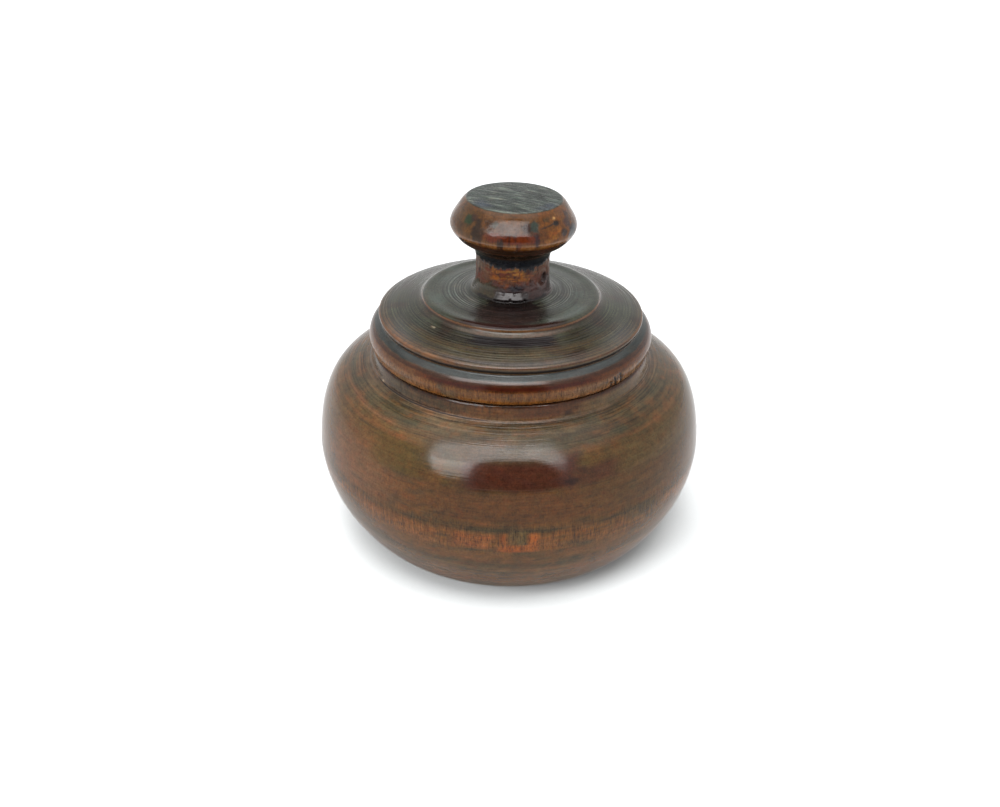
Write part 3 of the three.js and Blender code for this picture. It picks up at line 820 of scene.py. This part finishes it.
    # knob: orange flank, red under the highlight, pale lower rim, dark stains
    flank = smooth(L["knob"] - 0.15, L["knob"] + 0.15, s) * smooth(L["flat"] + 0.1, L["flat"] - 0.1, s)
    k = Paint(len(theta), (0.098, 0.036, 0.007))
    k.over((0.080, 0.036, 0.009), 0.7 * span(ph, -75, -34, 8))
    k.over((0.150, 0.048, 0.006), 0.85 * span(ph, 24, 66, 8))
    k.over((0.058, 0.022, 0.009), 0.75 * span(ph, -28, 22, 5) * span(z, 75.3, 77.6, 0.4))
    k.times(1 + 0.30 * n1(x / 1.1, y / 1.1, z / 3.2, octaves=3))
    k.over((0.130, 0.056, 0.020), 0.6 * span(z, 77.8, 79.3, 0.3) * smooth(-0.4, 0.2, edge))
    k.over((0.100, 0.016, 0.004), 0.90 * span(ph + 6 * fine, -25, 25, 4) * span(z + 0.5 * fine, 73.95, 75.8, 0.35))
    k.over((0.200, 0.082, 0.026), 0.85 * span(z + 0.15 * fine, 72.9, 73.75, 0.22))
    k.over((0.040, 0.010, 0.003), 0.85 * smooth(72.75, 72.45, z))
    k.over((0.290, 0.105, 0.010), 0.70 * spot(ph, z, r, 39, 74.6, 0.7, 0.5, 0.5))
    k.over((0.290, 0.095, 0.010), 0.70 * spot(ph, z, r, 46, 75.8, 0.6, 0.5, 0.5))
    k.over((0.240, 0.085, 0.010), 0.60 * spot(ph, z, r, 31, 74.2, 0.8, 0.4, 0.5))
    for at, height, wide, tall, colour, amount in [
        (-50, 76.9, 1.25, 0.85, (0.018, 0.032, 0.010), 0.96), (-37, 75.4, 1.0, 2.2, (0.018, 0.010, 0.006), 0.88),
        (-44, 77.5, 0.8, 0.6, (0.034, 0.012, 0.008), 0.75), (-31, 74.8, 0.55, 1.9, (0.026, 0.012, 0.006), 0.80),
        (-19, 77.3, 0.6, 0.5, (0.050, 0.055, 0.045), 0.70), (12.5, 76.8, 0.9, 0.9, (0.022, 0.006, 0.004), 0.90),
        (19.5, 76.9, 1.0, 1.1, (0.022, 0.034, 0.026), 0.95), (44.5, 77.0, 0.95, 0.45, (0.010, 0.006, 0.005), 0.97),
        (52, 74.9, 1.0, 0.75, (0.022, 0.014, 0.012), 0.90), (66, 74.3, 2.2, 1.3, (0.012, 0.020, 0.026), 0.95),
        (60, 76.4, 1.1, 0.9, (0.034, 0.014, 0.014), 0.80), (66, 77.6, 0.8, 0.8, (0.034, 0.018, 0.016), 0.80),
        (34, 77.9, 0.7, 0.35, (0.040, 0.030, 0.012), 0.60), (28, 75.2, 0.5, 1.6, (0.070, 0.024, 0.008), 0.5),
        (-11, 73.8, 0.55, 1.5, (0.016, 0.008, 0.006), 0.92), (-4, 75.0, 0.22, 1.2, (0.026, 0.008, 0.006), 0.80),
        (-14, 73.6, 0.25, 1.2, (0.020, 0.010, 0.008), 0.85), (3, 73.2, 0.28, 0.9, (0.024, 0.010, 0.008), 0.80),
        (-7, 75.2, 0.20, 0.9, (0.030, 0.008, 0.006), 0.70), (1, 75.3, 0.25, 1.1, (0.032, 0.008, 0.006), 0.75),
        (5, 73.6, 0.35, 1.0, (0.060, 0.016, 0.012), 0.65), (20.5, 74.4, 0.50, 1.6, (0.024, 0.010, 0.012), 0.92), (100, 76, 1.5, 1.0, (0.030, 0.034, 0.022), 0.7),
        (145, 75, 1.0, 1.6, (0.034, 0.022, 0.012), 0.6), (-120, 77, 1.2, 0.8, (0.028, 0.038, 0.020), 0.7),
        (-155, 74.5, 0.5, 1.8, (0.030, 0.016, 0.010), 0.7),
    ]:
        wob = 1 + 0.35 * fine
        k.over(colour, amount * spot(ph, z, r, at, height, wide * wob, tall * wob, 0.35))
    line = smooth(0.22, 0.06, np.abs(z - (76.55 + (ph - 26) * 0.028)))
    k.over((0.022, 0.012, 0.008), 0.8 * line * span(ph, 26, 42, 1.5))
    k.over((0.52, 0.27, 0.09), 0.95 * spot(ph, z, r, 44.0, 77.85, 0.40, 0.22, 0.5))
    p.c = p.c + (k.c - p.c) * flank[:, None]

    # sawn end grain
    flat = smooth(L["flat"] - 0.1, L["flat"] + 0.1, s)
    f = Paint(len(theta), (0.034, 0.046, 0.036))
    v = (x * 0.42 + y * 0.91) / 0.9
    f.over((0.170, 0.195, 0.155), 0.85 * smooth(0.15, 0.6, n3((x * 0.91 - y * 0.42) / 6, v, 2, octaves=2)))
    f.over((0.004, 0.006, 0.005), 0.80 * smooth(0.1, 0.5, n4((x * 0.91 - y * 0.42) / 7, v * 1.2, 5, octaves=2)))
    f.over((0.016, 0.024, 0.040), 0.8 * np.maximum(spot(ph, r, r, -52, 8.2, 2.4, 1.3), spot(ph, r, r, 48, 8.6, 2.6, 1.1)))
    # pale line along the front arris of the flat: painted highlight
    f.over((0.105, 0.122, 0.098), 0.75 * bump(r, 9.45, 0.5) * span(ph, -42, 38, 10))
    p.c = p.c + (f.c - p.c) * flat[:, None]
    return p.c


lid = lathe(
    "lid_turned",
    LID,
    [
        (L["flange"] + 0.3, 0.8, 128), (L["edge"] - 0.5, 0.7, 256), (L["groove"] + 0.3, 0.17, 512),
        (L["disc"] + 0.6, 0.135, 256), (L["fillet"] - 2.4, 0.3, 256), (L["fillet"] + 0.6, 0.13, 256),
        (L["knob"] - 0.6, 0.22, 256), (L["flat"] + 0.4, 0.2, 256), (L["flat"] + 6.5, 0.26, 128), (LID.length, 0.3, 64),
    ],
    lid_shape,
    lid_masks,
    [(0, 0.2), (L["recess"], 0.3), (L["flange"], 0.4), (L["edge"], 1.0), (L["arris"], 1.4), (L["fillet"], 1.5),
     (L["neck"], 1.0), (L["knob"], 1.0), (L["flat"], 1.0), (LID.length, 0.6)],
    lid_paint,
    lid_lean,
)


# ---------------------------------------------------------------- materials

class Nodes:
    """Short names for building a node tree."""

    def __init__(self, name):
        self.mat = bpy.data.materials.new(name)
        self.mat.use_nodes = True
        self.t = self.mat.node_tree
        self.t.nodes.clear()
        self.out = self.t.nodes.new("ShaderNodeOutputMaterial")

    def put(self, socket, value):
        if isinstance(value, bpy.types.NodeSocket):
            self.t.links.new(value, socket)
        else:
            socket.default_value = value

    def math(self, op, a, b=None, c=None, clamp=False):
        n = self.t.nodes.new("ShaderNodeMath")
        n.operation = op
        n.use_clamp = clamp
        for k, v in enumerate((a, b, c)):
            if v is not None:
                self.put(n.inputs[k], v)
        return n.outputs[0]

    def vec(self, op, a, b=None, scale=None):
        n = self.t.nodes.new("ShaderNodeVectorMath")
        n.operation = op
        self.put(n.inputs[0], a)
        if b is not None:
            self.put(n.inputs[1], b)
        if scale is not None:
            self.put(n.inputs["Scale"], scale)
        return n.outputs["Value"] if op in ("LENGTH", "DOT_PRODUCT", "DISTANCE") else n.outputs["Vector"]

    def step(self, lo, hi, v):
        """0 below lo to 1 above hi, smooth; lo may be above hi."""
        n = self.t.nodes.new("ShaderNodeMapRange")
        n.interpolation_type = "SMOOTHSTEP"
        self.put(n.inputs["Value"], v)
        a, b = (0.0, 1.0) if hi >= lo else (1.0, 0.0)
        n.inputs["From Min"].default_value = min(lo, hi)
        n.inputs["From Max"].default_value = max(lo, hi)
        n.inputs["To Min"].default_value = a
        n.inputs["To Max"].default_value = b
        return n.outputs["Result"]

    def noise(self, vector, scale=1.0, detail=2.0, rough=0.5, distortion=0.0, dims="3D"):
        n = self.t.nodes.new("ShaderNodeTexNoise")
        n.noise_dimensions = dims
        if dims == "1D":
            self.put(n.inputs["W"], vector)
        else:
            self.put(n.inputs["Vector"], vector)
        n.inputs["Scale"].default_value = scale
        n.inputs["Detail"].default_value = detail
        n.inputs["Roughness"].default_value = rough
        n.inputs["Distortion"].default_value = distortion
        return n.outputs["Fac"]

    def combine(self, x, y, z):
        n = self.t.nodes.new("ShaderNodeCombineXYZ")
        for k, v in enumerate((x, y, z)):
            self.put(n.inputs[k], v)
        return n.outputs[0]

    def attr(self, name):
        n = self.t.nodes.new("ShaderNodeAttribute")
        n.attribute_type = "GEOMETRY"
        n.attribute_name = name
        return n.outputs["Fac"]

    def mix(self, fac, a, b, mode="MIX"):
        n = self.t.nodes.new("ShaderNodeMix")
        n.data_type = "RGBA"
        n.blend_type = mode
        self.put(n.inputs[0], fac)
        self.put(n.inputs[6], (*a, 1) if isinstance(a, tuple) else a)
        self.put(n.inputs[7], (*b, 1) if isinstance(b, tuple) else b)
        return n.outputs[2]


def wood(name, rough, specular, saw=False):
    """Old polished wood with its fibres upright: the colour laid on the mesh, with fibres, pores, turned
    lines, dirt and painted shade in the hollows and orange wood on the worn edges."""
    n = Nodes(name)
    tc = n.t.nodes.new("ShaderNodeTexCoord")
    p = n.vec("SCALE", tc.outputs["Object"], scale=1000.0)
    sep = n.t.nodes.new("ShaderNodeSeparateXYZ")
    n.t.links.new(p, sep.inputs[0])
    x, y, z = sep.outputs
    paint = n.t.nodes.new("ShaderNodeAttribute")
    paint.attribute_name = "paint"
    grain, rings, arc = n.attr("grain"), n.attr("rings"), n.attr("arc")
    cavity, wear, torn, inside = n.attr("cavity"), n.attr("wear"), n.attr("torn"), n.attr("inside")

    wide = n.noise(n.vec("MULTIPLY", p, (1.5, 1.5, 0.10)), 1.0, 3, 0.55)
    fibre = n.noise(n.vec("MULTIPLY", p, (3.6, 3.6, 0.26)), 1.0, 2, 0.6)
    hair = n.noise(n.vec("MULTIPLY", p, (7.5, 7.5, 0.7)), 1.0, 1, 0.5)
    pores = n.noise(n.vec("MULTIPLY", n.vec("ADD", p, (31.0, 7.0, 3.0)), (4.2, 4.2, 0.55)), 1.0, 1, 0.5)
    pores = n.step(0.60, 0.70, pores)
    line = n.noise(n.combine(n.math("MULTIPLY", arc, 3.4), n.math("MULTIPLY", x, 0.05), n.math("MULTIPLY", y, 0.05)), 1.0, 2, 0.6)
    speck = n.noise(p, 2.6, 4, 0.65)
    mottle = n.noise(n.vec("MULTIPLY", p, (0.55, 0.55, 0.9)), 1.0, 3, 0.6)

    def amp(v, k):
        return n.math("MULTIPLY", n.math("SUBTRACT", v, 0.5), k)

    tone = n.math("ADD", amp(wide, 1.0), n.math("ADD", amp(fibre, 1.3), amp(hair, 0.8)))
    tone = n.math("MULTIPLY_ADD", tone, grain, 1.0)
    tone = n.math("ADD", tone, n.math("MULTIPLY", amp(line, 2.4), rings))
    tone = n.math("ADD", tone, n.math("ADD", amp(speck, 1.3), amp(mottle, 0.9)))
    tone = n.math("MAXIMUM", tone, 0.12)
    base = n.vec("SCALE", paint.outputs["Color"], scale=tone)
    # dark pores, stronger where the fibres are open
    base = n.mix(n.math("MULTIPLY", pores, n.math("MULTIPLY", grain, 0.62)), base, (0.030, 0.015, 0.007))
    # redder or greener from place to place
    hue = n.noise(n.vec("MULTIPLY", n.vec("ADD", p, (5.0, 90.0, 40.0)), (0.35, 0.35, 0.8)), 1.0, 3, 0.6)
    base = n.mix(n.math("MULTIPLY", n.step(0.52, 0.72, hue), 0.5), base, n.vec("MULTIPLY", base, (0.86, 1.06, 1.05)))
    base = n.mix(n.math("MULTIPLY", n.step(0.48, 0.28, hue), 0.6), base, n.vec("MULTIPLY", base, (1.18, 0.90, 0.80)))
    tint = n.noise(n.vec("ADD", p, (60.0, 8.0, 77.0)), 1.7, 3, 0.65)
    base = n.mix(n.math("MULTIPLY", n.step(0.54, 0.70, tint), 0.6), base, n.vec("MULTIPLY", base, (0.84, 1.08, 1.25)))
    base = n.mix(n.math("MULTIPLY", n.step(0.46, 0.30, tint), 0.6), base, n.vec("MULTIPLY", base, (1.16, 0.92, 0.90)))
    # worn edges, and dirt with painted shade darkening the hollows
    bare = n.step(0.42, 0.80, n.math("ADD", wear, amp(speck, 1.3)))
    base = n.mix(n.math("MULTIPLY", bare, 0.55), base, (0.165, 0.068, 0.022))
    dirt_and_shade_amount = n.step(0.30, 0.75, n.math("ADD", cavity, amp(speck, 0.6)))
    base = n.mix(n.math("MULTIPLY", dirt_and_shade_amount, 0.92), base, (0.009, 0.005, 0.004))
    height = n.math("ADD", n.math("MULTIPLY", n.math("MULTIPLY", fibre, grain), 0.014),
                    n.math("MULTIPLY", n.math("MULTIPLY", line, rings), 0.075))
    height = n.math("SUBTRACT", height, n.math("MULTIPLY", n.math("MULTIPLY", pores, grain), 0.012))
    height = n.math("ADD", height, n.math("MULTIPLY", speck, n.math("MULTIPLY_ADD", torn, 0.10, 0.0035)))
    gloss = n.math("ADD", rough, amp(mottle, 0.07))
    gloss = n.math("ADD", gloss, n.math("MULTIPLY", inside, 0.38))
    gloss = n.math("ADD", gloss, n.math("MULTIPLY", dirt_and_shade_amount, 0.25))
    gloss = n.math("ADD", gloss, n.math("MULTIPLY", torn, 0.34))
    gloss = n.math("ADD", gloss, n.math("MULTIPLY", n.math("MULTIPLY", pores, grain), 0.10))
    if saw:
        cut = n.attr("saw")
        across = n.math("ADD", n.math("MULTIPLY", x, 0.42), n.math("MULTIPLY", y, 0.91))
        along = n.math("SUBTRACT", n.math("MULTIPLY", x, 0.91), n.math("MULTIPLY", y, 0.42))
        v = n.combine(n.math("MULTIPLY", along, 0.16), n.math("MULTIPLY", across, 1.5), 0.0)
        mark = n.noise(v, 1.0, 3, 0.62, 0.35)
        v = n.combine(n.math("MULTIPLY", along, 0.11), n.math("MULTIPLY", across, 2.6), 4.0)
        scratch = n.step(0.60, 0.70, n.noise(v, 1.0, 2, 0.55, 0.2))
        base = n.mix(cut, base, n.vec("SCALE", base, scale=n.math("MAXIMUM", n.math("MULTIPLY_ADD", amp(mark, 5.0), 1.0, 1.0), 0.1)))
        base = n.mix(n.math("MULTIPLY", n.math("MULTIPLY", scratch, cut), 0.7), base, (0.110, 0.130, 0.100))
        height = n.math("ADD", height, n.math("MULTIPLY", n.math("MULTIPLY", mark, cut), 0.42))
        gloss = n.math("ADD", gloss, n.math("MULTIPLY", cut, 0.12))
    b = n.t.nodes.new("ShaderNodeBsdfPrincipled")
    n.put(b.inputs["Base Color"], base)
    n.put(b.inputs["Roughness"], n.math("MINIMUM", n.math("MAXIMUM", gloss, 0.08), 0.85))
    b.inputs["Specular IOR Level"].default_value = specular
    bumps = n.t.nodes.new("ShaderNodeBump")
    bumps.inputs["Strength"].default_value = 1.0
    bumps.inputs["Distance"].default_value = MM
    n.put(bumps.inputs["Height"], height)
    n.t.links.new(bumps.outputs[0], b.inputs["Normal"])
    n.t.links.new(b.outputs[0], n.out.inputs[0])
    return n.mat


pot.data.materials.append(wood("pot_wood", 0.105, 0.27))
lid.data.materials.append(wood("lid_wood", 0.14, 0.32, saw=True))


# ---------------------------------------------------------------- what rides on what

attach(pot, "pot")
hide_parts("pot")
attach(lid, "lid")
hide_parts("lid")


# ---------------------------------------------------------------- floor and light

def disc_mesh(name, height, shade):
    me = bpy.data.meshes.new(name)
    ring = [(1.6 * math.cos(a), 1.6 * math.sin(a), height) for a in np.linspace(0, TAU, 48, endpoint=False)]
    me.from_pydata(ring, [], [tuple(range(48))])
    o = bpy.data.objects.new(name, me)
    bpy.context.scene.collection.objects.link(o)
    n = Nodes(name + "_paper")
    tc = n.t.nodes.new("ShaderNodeTexCoord")
    b = n.t.nodes.new("ShaderNodeBsdfPrincipled")
    paper = n.noise(tc.outputs["Object"], 900.0, 3)
    n.put(b.inputs["Base Color"], n.mix(paper, tuple(c - 0.01 for c in shade), tuple(c + 0.01 for c in shade)))
    b.inputs["Roughness"].default_value = 0.9
    b.inputs["Specular IOR Level"].default_value = 0.2
    n.t.links.new(b.outputs[0], n.out.inputs[0])
    me.materials.append(n.mat)
    return o


# The paper is lit brighter for the picture than for the light that it throws back on the wood,
# so there are two sheets of it, one for each.
floor = disc_mesh("floor", 0.0, (0.440, 0.452, 0.455))
floor.visible_diffuse = floor.visible_glossy = floor.visible_shadow = False
bounce = disc_mesh("floor_bounce", -0.00005, (0.91, 0.91, 0.91))
bounce.visible_camera = False

world = bpy.data.worlds.new("studio")
bpy.context.scene.world = world
world.use_nodes = True
w = Nodes.__new__(Nodes)
w.t = world.node_tree
w.t.nodes.clear()
tc = w.t.nodes.new("ShaderNodeTexCoord")
sep = w.t.nodes.new("ShaderNodeSeparateXYZ")
w.t.links.new(tc.outputs["Generated"], sep.inputs[0])
dx, dy, dz = sep.outputs
side = w.math("ARCTAN2", dx, w.math("MULTIPLY", dy, -1.0))     # 0 in front, right positive
rise = w.math("ARCSINE", dz)
D = math.radians
dark = w.math("MULTIPLY", w.step(D(-24), D(-16), side), w.step(D(33), D(26), side))
dark = w.math("MULTIPLY", dark, w.math("MULTIPLY", w.step(D(-1), D(2), rise), w.step(D(66), D(56), rise)))
back = w.math("ABSOLUTE", side)
dull = w.math("MULTIPLY", w.step(D(128), D(142), back), w.math("MULTIPLY", w.step(D(40), D(46), rise), w.step(D(59), D(53), rise)))
level = w.math("ADD", 0.85, w.math("MULTIPLY", w.step(D(42), D(68), rise), 1.1))
level = w.math("MULTIPLY", level, w.math("SUBTRACT", 1.0, w.math("MULTIPLY", dark, 0.93)))
level = w.math("MULTIPLY", level, w.math("SUBTRACT", 1.0, w.math("MULTIPLY", dull, 0.95)))
bg = w.t.nodes.new("ShaderNodeBackground")
w.put(bg.inputs["Color"], (1, 1, 1, 1))
w.put(bg.inputs["Strength"], level)
wo = w.t.nodes.new("ShaderNodeOutputWorld")
w.t.links.new(bg.outputs[0], wo.inputs[0])


def only_on(light, *objects):
    """Limits a light to some objects."""
    c = bpy.data.collections.new(light.name + "_on")
    for o in objects:
        c.objects.link(o)
    light.light_linking.receiver_collection = c


def softbox(name, z, x0, x1, y0, y1, strength, receiver):
    """A sheet of light seen only in the polish; strength(n, X, Y) builds its radiance from the place
    on it in millimetres."""
    me = bpy.data.meshes.new(name)
    me.from_pydata([(x * MM, y * MM, z * MM) for x, y in ((x0, y0), (x0, y1), (x1, y1), (x1, y0))], [], [(0, 1, 2, 3)])
    o = bpy.data.objects.new(name, me)
    bpy.context.scene.collection.objects.link(o)
    n = Nodes(name)
    tc = n.t.nodes.new("ShaderNodeTexCoord")
    sep = n.t.nodes.new("ShaderNodeSeparateXYZ")
    n.t.links.new(n.vec("SCALE", tc.outputs["Object"], scale=1000.0), sep.inputs[0])
    e = n.t.nodes.new("ShaderNodeEmission")
    n.put(e.inputs["Strength"], strength(n, sep.outputs[0], sep.outputs[1]))
    clear = n.t.nodes.new("ShaderNodeBsdfTransparent")
    add = n.t.nodes.new("ShaderNodeAddShader")
    n.t.links.new(e.outputs[0], add.inputs[0])
    n.t.links.new(clear.outputs[0], add.inputs[1])
    n.t.links.new(add.outputs[0], n.out.inputs[0])
    me.materials.append(n.mat)
    o.visible_camera = o.visible_diffuse = o.visible_shadow = False
    only_on(o, receiver)
    return o


def blob(n, X, Y, x, y, rx, ry):
    """1 at (x, y), falling smoothly to 0 on an ellipse round it."""
    u = n.math("DIVIDE", n.math("SUBTRACT", X, x), rx)
    v = n.math("DIVIDE", n.math("SUBTRACT", Y, y), ry)
    return n.step(1.0, 0.0, n.math("SQRT", n.math("ADD", n.math("MULTIPLY", u, u), n.math("MULTIPLY", v, v))))


def product(n, *values):
    out = values[0]
    for v in values[1:]:
        out = n.math("MULTIPLY", out, v)
    return out


def pot_light(n, X, Y):
    away = n.math("SUBTRACT", -40.0, Y)                     # distance in front of the near edge
    near = n.step(-31.3, -36.3, Y)
    left = n.step(-6.0, 6.0, n.math("SUBTRACT", X, n.math("MULTIPLY_ADD", away, -0.83, -48.0)))
    right = n.step(5.0, -5.0, n.math("SUBTRACT", X, n.math("MULTIPLY_ADD", away, 0.55, 27.0)))
    # a dark wedge opens between the two arms
    wl = n.math("SUBTRACT", n.math("MAXIMUM", n.math("MULTIPLY_ADD", away, -1.0, 28.0),
                                   n.math("MULTIPLY_ADD", away, -0.45, -5.0)), X)
    wr = n.math("SUBTRACT", X, n.math("MULTIPLY_ADD", away, 0.72, -4.0))
    open_ = n.math("MAXIMUM", n.step(-7.0, 8.0, wl), n.step(-5.0, 5.0, wr))
    open_ = n.math("MAXIMUM", open_, n.step(-86.0, -68.0, Y))
    arm = n.math("MAXIMUM", n.step(-118.0, -84.0, Y), n.step(0.0, -30.0, X))
    fade = n.math("MULTIPLY_ADD", n.step(-190.0, -84.0, Y), 3.2, 4.0)
    fade = n.math("MULTIPLY", fade, n.math("MULTIPLY_ADD", arm, 0.75, 0.25))
    body = product(n, near, left, right, open_, fade)
    spot = n.math("MULTIPLY", blob(n, X, Y, 15.0, -50.0, 13.0, 24.0), 3.4)
    spot = n.math("ADD", spot, n.math("MULTIPLY", blob(n, X, Y, -8.0, -44.0, 22.0, 22.0), 3.0))
    bar = product(n, n.step(2.0, 3.2, X), n.step(8.6, 7.6, X), n.step(-74.0, -70.0, Y), 1.8)
    return n.math("MULTIPLY", n.math("MAXIMUM", n.math("SUBTRACT", n.math("ADD", body, n.math("MULTIPLY", spot, near)), bar), 0.0), 1.55)


def lid_light(n, X, Y):
    away = n.math("SUBTRACT", -40.0, Y)
    near = n.step(-30.0, -39.0, Y)
    far = n.step(-65.0, -56.0, Y)
    left = n.step(-6.0, 6.0, n.math("SUBTRACT", X, n.math("MULTIPLY_ADD", away, -0.4, -46.0)))
    right = n.step(5.0, -5.0, n.math("SUBTRACT", X, n.math("MULTIPLY_ADD", away, 0.38, 24.0)))
    body = product(n, near, left, right, far, 6.2)
    spot = n.math("MULTIPLY", blob(n, X, Y, -3.0, -48.0, 15.0, 18.0), 2.5)
    return n.math("ADD", body, n.math("MULTIPLY", spot, near))


def ring_light(n, X, Y):
    """A weak ring of light above the bead, too low for the knob and the neck to see."""
    out = n.math("SQRT", n.math("MULTIPLY_ADD", X, X, n.math("MULTIPLY", Y, Y)))
    return product(n, n.step(23.5, 26.0, out), n.step(34.0, 31.0, out), n.step(4.0, -14.0, Y), 1.05)


softbox("window_for_pot", 108, -200, 100, -280, -20, pot_light, pot)
softbox("window_for_lid", 108, -80, 60, -100, -22, lid_light, lid)
softbox("ring_for_lid", 60, -36, 36, -36, 6, ring_light, lid)

fill = bpy.data.lights.new("fill", "AREA")
fill.shape = "RECTANGLE"
fill.size, fill.size_y = 0.081, 0.045
fill.energy = 1.8 * math.pi * fill.size * fill.size_y
o = bpy.data.objects.new("fill", fill)
o.location = (-0.012, -0.0575, 0.11)
o.visible_camera = o.visible_glossy = False
bpy.context.scene.collection.objects.link(o)
only_on(o, pot, lid, bounce)


# broad lights that shade the paper round the pot from several sides
for k, (tilt, turned, energy) in enumerate([(14, 225, 1.19), (28, 0, 3.53), (40, 0, 0.91), (50, 45, 0.64), (60, 315, 4.3)]):
    light = bpy.data.lights.new(f"paper_light_{k}", "SUN")
    light.angle = math.radians(24)
    light.energy = energy
    o = bpy.data.objects.new(light.name, light)
    o.rotation_euler = (math.radians(tilt), 0, math.radians(turned))
    o.visible_camera = False
    bpy.context.scene.collection.objects.link(o)
    only_on(o, floor)

# the paper under and round the pot throws back a little more light than the sky alone gives it
glow = bpy.data.lights.new("paper_glow", "SUN")
glow.angle = math.radians(170)
glow.energy = 0.5
glow.use_shadow = False
o = bpy.data.objects.new("paper_glow", glow)
bpy.context.scene.collection.objects.link(o)
only_on(o, bounce)

bpy.context.scene.view_settings.view_transform = "Standard"
bpy.context.scene.view_settings.look = "None"
